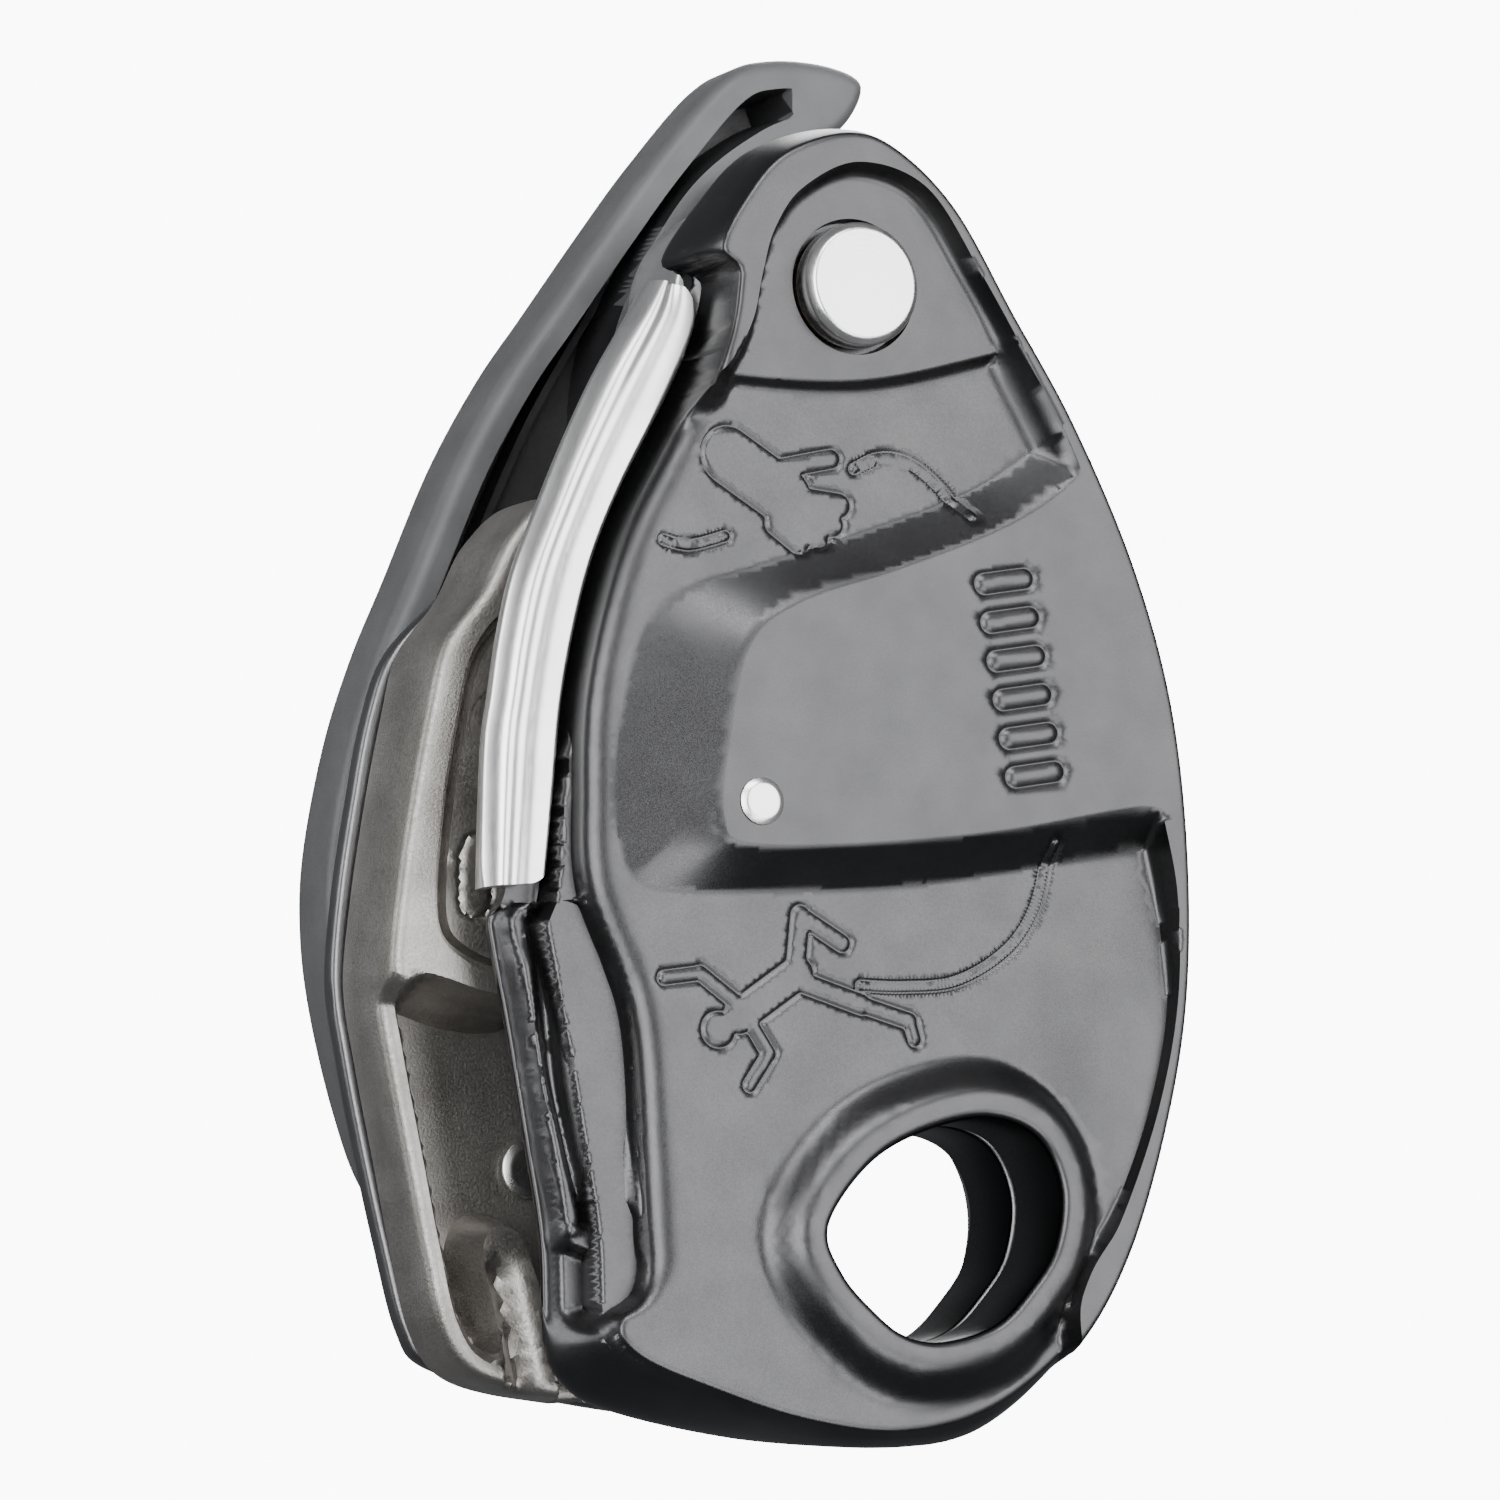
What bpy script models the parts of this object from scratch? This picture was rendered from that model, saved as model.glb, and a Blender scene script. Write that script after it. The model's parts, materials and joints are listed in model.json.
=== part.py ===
"""Belay device with assisted braking, for one climbing rope.

The design is in millimetres and the scene in metres. The origin is the middle of the carabiner
eye, level with the raised front of the swinging plate. +Z runs up the device to its main pivot,
+X to the right of someone who faces its front, and +Y from the front to the back.
"""
from math import cos, hypot, pi, radians, sin

import bmesh
import bpy
import numpy as np
from mathutils.geometry import delaunay_2d_cdt

MM = 0.001
GAP = 0.3  # left between pieces that touch

# Depths along +Y
POCKET = 2.5  # floor of the swinging plate's forged pockets
PLATE_BACK = 4.8
RIM_BACK = 6.0  # back of the plate's rim on its right and at its top
FLANGE_BACK = 9.5  # back of its deep flange on the left
LIP_FRONT = 5.0  # steel lip insert
LIP_SEAT = 7.7  # the plate's seat behind it
LIP_BACK = 8.6
SEAT_WIDTH = 1.95  # of the lip insert's seat, in from the plate's edge
SEAT_LOW, SEAT_HIGH = 26.2, 72.8  # heights the lip insert's seat runs between
EYE_MEET = 8.2  # the two plates' eye collars meet here
CAM_FRONT, CAM_BACK = 7.0, 19.0
BLOCK_FRONT = 12.0  # friction body's block
CREST = 15.0  # rounded lip along its rope channel
FLOOR = 20.0  # channel floor
BODY_BACK = 21.4
FIXED_FRONT = BODY_BACK + GAP
FIXED_BACK = 24.2
HANDLE_FRONT = 24.8
HANDLE_BACK = 33.0

# Axes parallel to +Y, as (x, z)
MAIN_PIVOT = (0.0, 70.4)
CAM_AXLE = (2.0, 37.0)
SPACER = (-12.3, 32.3)
SELECTOR = (9.5, 57.0)
PAWL_PIN = (-15.8, 37.0)

# Radii
PIN_R = 3.5  # main pivot
PIVOT_HEAD_R = 4.65
SHOE_R = 9.3  # friction shoe round the main pivot
AXLE_R = 3.2
CAM_R = 12.5
NOSE_R = 2.8
CAM_CENTRE = (-3.5, 35.5)
NOSE_CENTRE = (-17.3, 44.5)
DRIVE_R = 7.5  # drive pin's distance from the cam axle
DRIVE_AT = 250.0  # its angle at rest, degrees
CAM_SWING = 30.0  # degrees
ROPE_GROOVE = 1.7  # depth of the rope groove round the cam
KNOB_R = 6.2

SIDES = 24  # facets round a turned piece
STEP = 3.4  # spacing of mesh points on the big relief surfaces


# ---------------------------------------------------------------- outlines

def curve(points, step=STEP, closed=True):
    """Points spaced by about step along a smooth curve through the given ones."""
    pts = np.array(points, float)
    n = len(pts)
    fine = []
    for i in range(n if closed else n - 1):
        if closed:
            a, b, c, d = (pts[(i + k) % n] for k in (-1, 0, 1, 2))
        else:
            a, b, c, d = (pts[min(max(i + k, 0), n - 1)] for k in (-1, 0, 1, 2))
        for t in np.arange(12) / 12:
            fine.append(0.5 * (2 * b + (c - a) * t + (2 * a - 5 * b + 4 * c - d) * t ** 2
                               + (3 * b - a - 3 * c + d) * t ** 3))
    fine = np.array(fine + [pts[0] if closed else pts[-1]])
    along = np.r_[0, np.cumsum(np.hypot(*np.diff(fine, axis=0).T))]
    count = max(6, round(along[-1] / step))
    at = np.linspace(0, along[-1], count + 1)
    if closed:
        at = at[:-1]
    return np.c_[np.interp(at, along, fine[:, 0]), np.interp(at, along, fine[:, 1])]


def circle(centre, radius, count=SIDES):
    """A closed loop of points, anticlockwise seen from the front."""
    a = np.arange(count) * 2 * pi / count
    return np.c_[centre[0] + radius * np.cos(a), centre[1] + radius * np.sin(a)]


def polar(centre, radius, degrees):
    """The point at an angle and a distance from a centre."""
    a = radians(degrees)
    return centre[0] + radius * cos(a), centre[1] + radius * sin(a)


def arc_slot(centre, radius, half_width, start, end, count=6):
    """A closed loop round an arc-shaped slot with round ends."""
    outer = [polar(centre, radius + half_width, a) for a in np.linspace(start, end, count)]
    inner = [polar(centre, radius - half_width, a) for a in np.linspace(end, start, count)]
    tip_a = [polar(polar(centre, radius, end), half_width, end + k * 45) for k in (1, 2, 3)]
    tip_b = [polar(polar(centre, radius, start), half_width, start + 180 + k * 45)
             for k in (1, 2, 3)]
    return np.array(outer + tip_a + inner + tip_b)


def signed_area(loop):
    """Twice the signed area of a loop, positive when it runs anticlockwise."""
    x, z = loop.T
    return np.sum(x * np.roll(z, -1) - np.roll(x, -1) * z)


def inset(loop, amount):
    """The loop moved inwards by an amount, or outwards when it is negative."""
    ahead, behind = np.roll(loop, -1, 0) - loop, loop - np.roll(loop, 1, 0)
    ahead /= np.linalg.norm(ahead, axis=1)[:, None]
    behind /= np.linalg.norm(behind, axis=1)[:, None]
    along = ahead + behind
    along /= np.linalg.norm(along, axis=1)[:, None]
    inward = np.c_[-along[:, 1], along[:, 0]] * np.sign(signed_area(loop))
    return loop + inward * amount


def distance(points, line, closed=True):
    """How far each point is from a line of straight stretches."""
    a = line if closed else line[:-1]
    b = np.roll(line, -1, 0) if closed else line[1:]
    run = b - a
    t = np.einsum("pij,ij->pi", points[:, None] - a, run) / np.maximum((run ** 2).sum(1), 1e-12)
    near = a + np.clip(t, 0, 1)[..., None] * run
    return np.sqrt(((points[:, None] - near) ** 2).sum(2)).min(1)


def within(points, loop):
    """Which points lie inside a closed loop."""
    x, z = points.T
    hit = np.zeros(len(points), bool)
    for (ax, az), (bx, bz) in zip(loop, np.roll(loop, -1, 0)):
        if az != bz:
            crosses = (az > z) != (bz > z)
            hit ^= crosses & (x < ax + (z - az) * (bx - ax) / (bz - az))
    return hit


def depth_in(points, loop):
    """Distance inside a loop, negative outside it."""
    return np.where(within(points, loop), 1, -1) * distance(points, loop)


def smooth(t):
    """An easing from 0 to 1."""
    t = np.clip(t, 0, 1)
    return t * t * (3 - 2 * t)


# The swinging plate: its front face's edge, and its outer edge at the back of its wall
FACE = [(-0.1, 81.8), (3.9, 80.5), (8.4, 75.9), (12.5, 67.9), (16.7, 59.6), (20.6, 49.1),
        (22.8, 38.6), (23.1, 27.5), (21.9, 16.4), (19.2, 6.9), (15.0, -2.6), (10.0, -9.1),
        (3.4, -13.2), (-4.3, -14.3), (-12.4, -12.7), (-20.3, -9.4), (-24.0, -6.2),
        (-23.8, -1.0), (-22.8, 8.0), (-22.8, 18.0), (-25.4, 27.0), (-25.1, 34.0),
        (-24.2, 40.7), (-22.2, 47.2), (-19.4, 53.4), (-15.2, 59.8), (-12.5, 64.2),
        (-11.0, 67.6), (-10.3, 70.4), (-10.2, 71.8), (-11.4, 73.4), (-9.2, 76.9),
        (-5.6, 80.3)]
PLATE = [(-0.1, 82.8), (4.5, 81.3), (9.2, 76.4), (13.3, 68.2), (17.5, 59.9), (21.4, 49.4),
         (23.7, 38.8), (24.0, 27.4), (22.8, 16.2), (20.1, 6.5), (15.8, -3.1), (10.6, -9.8),
         (3.2, -14.6), (-5.2, -15.2), (-15.7, -13.4), (-24.5, -10.9), (-28.0, -8.8),
         (-29.3, -5.5), (-29.0, 2.0), (-29.6, 10.0), (-30.3, 18.0), (-31.0, 24.4),
         (-30.9, 25.6), (-29.9, 27.4), (-29.2, 31.4), (-28.0, 37.4), (-26.1, 44.6),
         (-23.6, 51.2), (-20.4, 57.0), (-16.8, 62.2), (-14.0, 66.4), (-12.2, 69.4),
         (-11.3, 70.9), (-11.1, 72.2), (-12.4, 73.6), (-10.0, 77.4), (-6.2, 81.1)]
EYE = [(-9.6, 1.0), (-6.2, 5.0), (-2.0, 7.2), (3.8, 8.2), (8.1, 6.6), (9.8, 2.7), (8.9, -1.6),
       (6.6, -4.5), (3.4, -7.0), (-1.0, -7.9), (-4.2, -7.2), (-6.6, -5.2), (-8.8, -2.4)]
# Inside this line the plate's face sinks from its rim to the pockets
BOWL = [(-9.6, 67.6), (-8.3, 71.4), (-7.0, 74.6), (-4.4, 77.6), (0.5, 79.5), (6.0, 77.5), (9.9, 71.0),
        (13.7, 63.4), (16.3, 57.4), (18.4, 50.0), (20.4, 40.0), (21.0, 31.0), (21.7, 24.0),
        (20.9, 16.0), (18.4, 8.0), (14.4, 0.0), (10.5, -5.5), (5.0, -20.0), (-40.0, -20.0),
        (-40.0, 56.0), (-16.0, 62.0), (-12.2, 64.2)]
# The raised tongue across its middle, at its crisp top edge and at its foot
TONGUE = [(15.0, 54.5), (9.3, 51.7), (0.8, 49.1), (-7.7, 46.9), (-12.2, 43.7), (-14.8, 35.7),
          (-15.5, 31.2), (-14.0, 29.3), (-5.4, 28.8), (7.0, 29.2), (18.7, 30.5), (30.0, 31.0),
          (30.0, 60.0), (21.0, 59.0)]
TONGUE_FOOT = [(14.0, 57.8), (8.3, 54.9), (-0.3, 52.3), (-9.5, 50.0), (-16.0, 48.4),
               (-19.9, 45.0), (-22.6, 36.3), (-22.9, 29.6), (-20.9, 26.6), (-12.7, 25.9),
               (-0.3, 25.7), (12.2, 26.7), (21.0, 27.6), (31.0, 29.0), (31.0, 62.0),
               (20.0, 61.0)]
PIVOT_STEP = [(-20.0, 66.0), (-11.4, 64.2), (-0.3, 63.4), (9.8, 64.9), (16.0, 66.5)]

# The steel lip insert: its front edge and its back edge
LIP_INNER = [(-11.4, 70.7), (-12.3, 67.4), (-14.9, 62.8), (-18.7, 56.8), (-21.3, 52.0),
             (-23.3, 47.0), (-25.1, 41.0), (-26.3, 35.0), (-27.3, 30.0), (-27.8, 27.6)]
LIP_OUTER = [(-13.4, 72.0), (-15.2, 69.6), (-18.8, 64.9), (-22.1, 59.9), (-24.5, 55.5),
             (-27.0, 50.6), (-28.6, 45.9), (-29.7, 41.6), (-30.5, 38.3), (-31.3, 32.6),
             (-31.9, 27.6)]

# The friction body: its outline, its block, the panel let into the block, and its ribs
BODY = [(-37.4, 22.0), (-37.0, 16.0), (-36.2, 9.0), (-35.4, 2.0), (-34.4, -4.0), (-32.0, -7.4),
        (-26.0, -9.3), (-20.5, -9.6), (-17.6, -5.0), (-17.0, 3.0), (-13.0, 10.5),
        (-5.0, 14.6), (6.0, 15.8), (14.0, 18.0), (17.4, 26.0), (17.0, 36.0), (13.5, 46.0),
        (6.0, 54.6), (-3.0, 56.6), (-12.0, 56.9), (-20.0, 57.4), (-24.4, 54.6), (-27.4, 50.2),
        (-30.8, 46.4), (-32.6, 41.5), (-34.4, 35.5), (-36.2, 28.5)]
BLOCK = [(-50.0, 30.0), (-38.0, 21.0), (-34.6, 20.4), (-30.2, 18.8), (-25.6, 18.4),
         (-23.2, 21.5), (-22.6, 32.0), (-22.2, 44.0), (-22.6, 50.0), (-20.6, 54.0),
         (-24.0, 60.0), (-50.0, 60.0)]
PANEL = [(-33.6, 26.0), (-31.6, 22.8), (-27.0, 21.2), (-25.0, 24.0), (-24.4, 34.0),
         (-24.2, 44.0), (-25.8, 48.2), (-29.0, 45.2), (-30.8, 40.0), (-32.4, 34.0)]
RIB = [(-29.6, 2.2), (-28.0, 4.0), (-26.0, 3.8), (-22.0, 1.5), (-19.0, -3.0), (-19.0, -14.0),
       (-28.0, -14.0)]

FIXED = [(9.3, 83.6), (12.6, 79.0), (15.4, 71.0), (18.0, 61.5), (21.0, 50.5),
         (23.4, 39.0), (23.8, 27.5), (22.6, 16.4), (19.9, 6.9), (15.6, -2.0), (10.4, -8.4),
         (3.0, -11.6), (-6.0, -12.2), (-16.0, -11.0), (-25.5, -8.8), (-32.6, -6.4),
         (-34.6, -3.5), (-35.8, 3.0), (-36.8, 10.0), (-37.6, 17.0), (-37.9, 22.5),
         (-36.8, 29.0), (-35.0, 36.0), (-33.2, 42.0), (-31.0, 46.6), (-27.0, 50.2),
         (-22.0, 53.8), (-15.6, 56.4), (-11.4, 60.4), (-8.8, 65.6), (-7.8, 70.0),
         (-5.8, 74.6), (-2.9, 78.5), (0.6, 81.9), (4.8, 83.7)]
HANDLE = [(15.0, 89.8), (12.4, 91.5), (7.0, 92.0), (2.8, 90.6), (-3.3, 84.8), (-8.0, 79.6),
          (-13.6, 73.1), (-17.8, 68.2), (-22.4, 61.6), (-27.0, 53.2), (-30.2, 47.4),
          (-33.0, 41.0), (-35.4, 33.0), (-36.2, 27.0), (-36.0, 21.0), (-34.8, 13.5),
          (-33.0, 7.5), (-29.6, 3.2), (-24.6, 3.0), (-18.6, 8.0), (-11.0, 18.0), (-3.0, 25.0),
          (2.0, 24.0), (9.4, 26.3), (14.2, 32.4), (14.9, 38.6), (12.2, 45.0), (6.0, 49.3),
          (-1.0, 50.6), (-6.2, 54.6), (-7.8, 61.0), (-7.2, 67.4), (-4.6, 73.4), (0.6, 80.2),
          (6.6, 84.2), (12.4, 86.2)]


# ---------------------------------------------------------------- meshes

def add(name, body, look, verts, faces):
    """One named object, its mesh given in design millimetres, hung on its body's empty."""
    origin = np.array(body.location) / MM
    mesh = bpy.data.meshes.new(name)
    mesh.from_pydata([tuple((np.array(v) - origin) * MM) for v in verts], [], faces)
    shape = bmesh.new()
    shape.from_mesh(mesh)
    bmesh.ops.recalc_face_normals(shape, faces=shape.faces)
    shape.to_mesh(mesh)
    shape.free()
    mesh.shade_smooth()
    mesh.set_sharp_from_angle(angle=radians(32))
    mesh.materials.append(look)
    obj = bpy.data.objects.new(name, mesh)
    bpy.context.scene.collection.objects.link(obj)
    obj.parent = body
    return obj


def at_depth(loop, y):
    """A flat loop of (x, z) points lifted to a depth y."""
    return [(x, y, z) for x, z in loop]


def triangles(loops, extra=(), creases=()):
    """Points and triangles that fill the first loop and leave the other loops open.

    creases are pairs of extra points that an edge of the mesh joins.
    """
    points = np.vstack([*loops, *[e for e in extra if len(e)]])
    edges, start = [], 0
    for loop in loops:
        n = len(loop)
        edges += [(start + i, start + (i + 1) % n) for i in range(n)]
        start += n
    edges += [(start + i, start + j) for i, j in creases]
    out = delaunay_2d_cdt([tuple(p) for p in points], edges, [], 0, 1e-6)
    flat = np.array([tuple(v) for v in out[0]])
    tris = np.array([tuple(f) for f in out[2]])
    mid = flat[tris].mean(1)
    keep = within(mid, loops[0])
    for hole in loops[1:]:
        keep &= ~within(mid, hole)
    return flat, tris[keep]


def walls(loops, first, second):
    """Quads that join two copies of the loops, whose vertices start at first and at second."""
    faces, start = [], 0
    for k, loop in enumerate(loops):
        n = len(loop)
        outward = (signed_area(loop) > 0) == (k == 0)
        for i in range(n):
            a, b = start + i, start + (i + 1) % n
            quad = (first + a, first + b, second + b, second + a)
            faces.append(quad if outward else quad[::-1])
        start += n
    return faces


def inside_all(points, loops):
    """Which points lie inside the first loop and outside the others."""
    inside = within(points, loops[0])
    for hole in loops[1:]:
        inside &= ~within(points, hole)
    return inside


def distance_to_loops(points, loops):
    """How far each point is from the nearest of the loops."""
    return np.minimum.reduce([distance(points, loop) for loop in loops])


def spacing_from(points, others):
    """How far each point is from the nearest of some other points."""
    if not len(others) or not len(points):
        return np.full(len(points), 1e9)
    return np.sqrt(((points[:, None] - others) ** 2).sum(2)).min(1)


def relief(loops, front, back, rows=(), spacing=STEP):
    """A solid between two depth functions, over the first loop and open at the other loops.

    rows are closed lines of points laid along the shape's edges, which the mesh follows.
    """
    edge = np.vstack(loops)
    kept, creases, count = [], [], 0
    for row in rows:
        clear = inside_all(row, loops)
        for other in [edge] + kept:
            clear &= spacing_from(row, other) > 0.2
        new = np.cumsum(clear) - 1 + count
        middle = (row + np.roll(row, -1, 0)) / 2
        open_here = inside_all(middle, loops) & (distance_to_loops(middle, loops) > 0.25)
        for i in range(len(row)):
            j = (i + 1) % len(row)
            if clear[i] and clear[j] and open_here[i] and new[i] != new[j]:
                creases.append((new[i], new[j]))
        kept.append(row[clear])
        count += clear.sum()
    low, high = loops[0].min(0), loops[0].max(0)
    xs = np.arange(low[0], high[0], spacing)
    zs = np.arange(low[1], high[1], spacing * 0.87)
    grid = np.array([(x + spacing / 2 * (j % 2), z) for j, z in enumerate(zs) for x in xs])
    grid = grid[inside_all(grid, loops)]
    for other in [edge] + kept:
        grid = grid[spacing_from(grid, other) > 0.62 * spacing]
    flat, tris = triangles(loops, [*kept, grid], creases)
    n = len(flat)
    verts = [(p[0], y, p[1]) for p, y in zip(flat, front(flat))]
    verts += [(p[0], y, p[1]) for p, y in zip(flat, back(flat))]
    faces = [tuple(t) for t in tris] + [tuple(n + t[::-1]) for t in tris]
    return verts, faces + walls(loops, n, 0)


def stack(outline, profile, holes=()):
    """An extruded solid whose outer wall follows (inset, y) pairs, with straight holes."""
    rings = [inset(outline, amount) for amount, _ in profile]
    verts, faces = [], []
    for ring, (_, y) in zip(rings, profile):
        verts += at_depth(ring, y)
    n = len(outline)
    for k in range(len(rings) - 1):
        faces += walls([outline], (k + 1) * n, k * n)
    start = len(verts)
    (_, y0), (_, y1) = profile[0], profile[-1]
    for hole in holes:
        verts += at_depth(hole, y0)
    far = len(verts)
    for hole in holes:
        verts += at_depth(hole, y1)
    offset = 0
    for hole in holes:
        m = len(hole)
        for i in range(m):
            a, b = start + offset + i, start + offset + (i + 1) % m
            quad = (a, b, b + far - start, a + far - start)
            faces.append(quad if signed_area(hole) > 0 else quad[::-1])
        offset += m
    for ring, base, hole_base, flip in ((rings[0], 0, start, False),
                                        (rings[-1], (len(rings) - 1) * n, far, True)):
        _, tris = triangles([ring, *holes])
        index = list(range(base, base + n)) + list(range(hole_base, hole_base + offset))
        for t in tris:
            face = tuple(index[i] for i in t)
            faces.append(face[::-1] if flip else face)
    return verts, faces


def anticlockwise(loop):
    """The loop, turned to run anticlockwise seen from the front."""
    return loop if signed_area(loop) > 0 else loop[::-1]


def plate_solid(outline, y0, y1, chamfer=0.4, holes=()):
    """A flat plate with chamfered outer edges."""
    profile = [(chamfer, y0), (0, y0 + chamfer), (0, y1 - chamfer), (chamfer, y1)]
    return stack(anticlockwise(outline), profile, [anticlockwise(h) for h in holes])


def turned(centre, profile, sides=SIDES):
    """A solid turned about an axis along +Y, from (radius, y) pairs.

    A profile that starts and ends at radius 0 makes a solid; otherwise it closes on itself.
    """
    solid = profile[0][0] == 0 and profile[-1][0] == 0
    verts, rings = [], []
    for r, y in profile:
        if r == 0:
            rings.append([len(verts)] * sides)
            verts.append((centre[0], y, centre[1]))
        else:
            rings.append(list(range(len(verts), len(verts) + sides)))
            verts += at_depth(circle(centre, r, sides), y)
    pairs = list(zip(rings, rings[1:])) + ([] if solid else [(rings[-1], rings[0])])
    faces = []
    for a, b in pairs:
        for i in range(sides):
            j = (i + 1) % sides
            face = [a[i], b[i], b[j], a[j]]
            face = [v for k, v in enumerate(face) if v not in face[:k]]
            if len(face) > 2:
                faces.append(tuple(face))
    return verts, faces


def sleeve(centre, inner, outer, y0, y1, sides=SIDES):
    """A plain ring or bush."""
    return turned(centre, [(inner, y0), (inner, y1), (outer, y1), (outer, y0)], sides)


def swept(path, radius, sides=6):
    """A round wire along a path of (x, y, z) points, with flat ends."""
    path = np.array(path, float)
    run = np.gradient(path, axis=0)
    run /= np.linalg.norm(run, axis=1)[:, None]
    side = np.cross(run[0], (0.3, 0.5, 0.8))
    verts, faces = [], []
    for p, t in zip(path, run):
        side = side - t * side.dot(t)
        side /= np.linalg.norm(side)
        other = np.cross(t, side)
        for k in range(sides):
            a = k * 2 * pi / sides
            verts.append(tuple(p + radius * (side * cos(a) + other * sin(a))))
    for r in range(len(path) - 1):
        for k in range(sides):
            a, b = r * sides + k, r * sides + (k + 1) % sides
            faces += [(a, b, b + sides), (a, b + sides, a + sides)]
    last = (len(path) - 1) * sides
    faces.append(tuple(range(sides))[::-1])
    faces.append(tuple(range(last, last + sides)))
    return verts, faces


def coil_path(centre, radius, y0, y1, turns, start, per_turn=12):
    """Points along a helix about an axis along +Y."""
    n = round(turns * per_turn)
    points = []
    for i in range(n + 1):
        x, z = polar(centre, radius, start + 360 * turns * i / n)
        points.append((x, y0 + (y1 - y0) * i / n, z))
    return points


# ---------------------------------------------------------------- the swinging plate

def plate_front(points):
    """Depth of the swinging plate's front: rim, pockets, tongue, eye ring and side walls."""
    face, eye = curve(FACE, 1.5), curve(EYE, 1.0)
    x, z = points.T
    rim = 1 - smooth(depth_in(points, curve(BOWL, 2)) / 1.7)
    top, foot = depth_in(points, np.array(TONGUE)), depth_in(points, np.array(TONGUE_FOOT))
    tongue = np.where(top >= 0, 1, np.clip(foot, 0, None) / (np.clip(foot, 0, None)
                                                            + np.clip(-top, 1e-6, None)))
    ring = smooth((5.0 - distance(points, eye)) / 3.4) * 0.9
    step = np.interp(x, *np.array(PIVOT_STEP).T)
    shelf = 0.3 * smooth((z - step) / 0.8 + 0.5)
    raised = np.maximum.reduce([rim, tongue ** 1.5, ring, shelf])
    depth = POCKET * (1 - raised)
    seat = np.hypot(x - MAIN_PIVOT[0], z - MAIN_PIVOT[1])
    depth = np.where(seat < PIVOT_HEAD_R + 0.7, POCKET + 0.1, depth)
    return np.maximum(depth, plate_wall(points, depth, face))


def plate_wall(points, depth, face):
    """Depth of the wall that runs back from the face's edge, with its seat and side panel."""
    x, z = points.T
    outside = np.clip(-depth_in(points, face), 0, None)
    to_edge = distance(points, curve(PLATE, 1.5))
    t = outside / (outside + to_edge + 1e-9)
    back = outer_depth(points) - 0.9
    wall = depth + (back - depth) * (0.75 * t ** 1.3 + 0.25 * (1 - np.sqrt(1 - t ** 2)))
    panel = np.interp(t, [0, 0.07, 0.16, 0.55, 0.62, 0.69, 0.76, 0.84, 1],
                      [2.5, 5.6, 5.6, 6.0, 7.4, 7.4, 6.6, 6.6, 8.6])
    low = smooth((z - 1.0) / 2.0) * smooth((SEAT_LOW - z) / 1.0) * (x < -20)
    wall = np.where(outside > 0, wall + (panel - wall) * low, depth)
    by_lip = (z > SEAT_LOW) & (z < SEAT_HIGH) & (x < -8)
    steep = depth + (back - depth) * (1 - (1 - t) ** 2.6)
    wall = np.where(by_lip & (outside > 0), steep, wall)
    return np.where(by_lip & (to_edge < SEAT_WIDTH), LIP_SEAT, wall)


def outer_depth(points):
    """Depth of the swinging plate's back edge: shallow on the right, deep on the left."""
    x, z = points.T
    from_pivot = np.hypot(x - MAIN_PIVOT[0], z - MAIN_PIVOT[1])
    deep = smooth((-6 - x) / 9) * smooth((from_pivot - 10.0) / 3)
    return RIM_BACK + (FLANGE_BACK - RIM_BACK) * deep


def plate_back(points):
    """Depth of the swinging plate's back: flat, with a deeper rim and the eye's collar."""
    x, z = points.T
    to_edge = distance(points, curve(PLATE, 1.5))
    rim = smooth((2.9 - to_edge) / 0.7)
    depth = PLATE_BACK + (outer_depth(points) - PLATE_BACK) * rim
    hollow = smooth((depth_in(points, np.array(TONGUE)) - 3) / 1) * smooth((to_edge - 5) / 1)
    clear = smooth((np.hypot(x - SPACER[0], z - SPACER[1]) - 3.4) / 0.8)
    depth = depth - 1.6 * hollow * clear
    collar = smooth((3.4 - distance(points, curve(EYE, 1.0))) / 0.8)
    return np.maximum(depth, PLATE_BACK + (EYE_MEET - GAP / 2 - PLATE_BACK) * collar)


def make_swinging_plate(body, looks):
    """The forged plate, its steel lip insert, its pivot bush and its spacer rivet."""
    outline, eye = anticlockwise(curve(PLATE, 2.6)), curve(EYE, 2.2)
    bore, spacer = circle(MAIN_PIVOT, PIN_R + 1.0, 20), circle(SPACER, 1.35, 12)
    rows = [inset(eye, -d) for d in (1.7, 3.3, 5.0)]
    rows += [inset(outline, d) for d in (1.85, 2.2, 3.0)]
    rows += [circle(MAIN_PIVOT, PIVOT_HEAD_R + d, 20) for d in (0.6, 0.9)]
    rows += [circle(SPACER, 2.2, 12), curve(FACE, 2.6), curve(TONGUE, 2.6), curve(BOWL, 2.8),
             inset(anticlockwise(curve(BOWL, 2.8)), 1.7), curve(TONGUE_FOOT, 2.8)]
    solid = relief([outline, eye, bore, spacer], plate_front, plate_back, rows)
    add("swinging_side_plate", body, looks["charcoal"], *solid)
    add("lip_insert", body, looks["polished"], *lip_insert())
    bush = sleeve(MAIN_PIVOT, PIN_R + GAP, PIN_R + 0.7, POCKET + 0.4, PLATE_BACK - 0.1)
    add("pivot_bush", body, looks["bronze"], *bush)
    profile = [(0, -0.35), (1.3, -0.35), (1.75, -0.1), (1.75, -0.05), (1.05, -0.05),
               (1.05, PLATE_BACK + GAP), (1.9, PLATE_BACK + GAP), (1.9, 6.0), (1.4, 6.4), (0, 6.4)]
    add("spacer_rivet", body, looks["polished"], *turned(SPACER, profile, 16))


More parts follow.
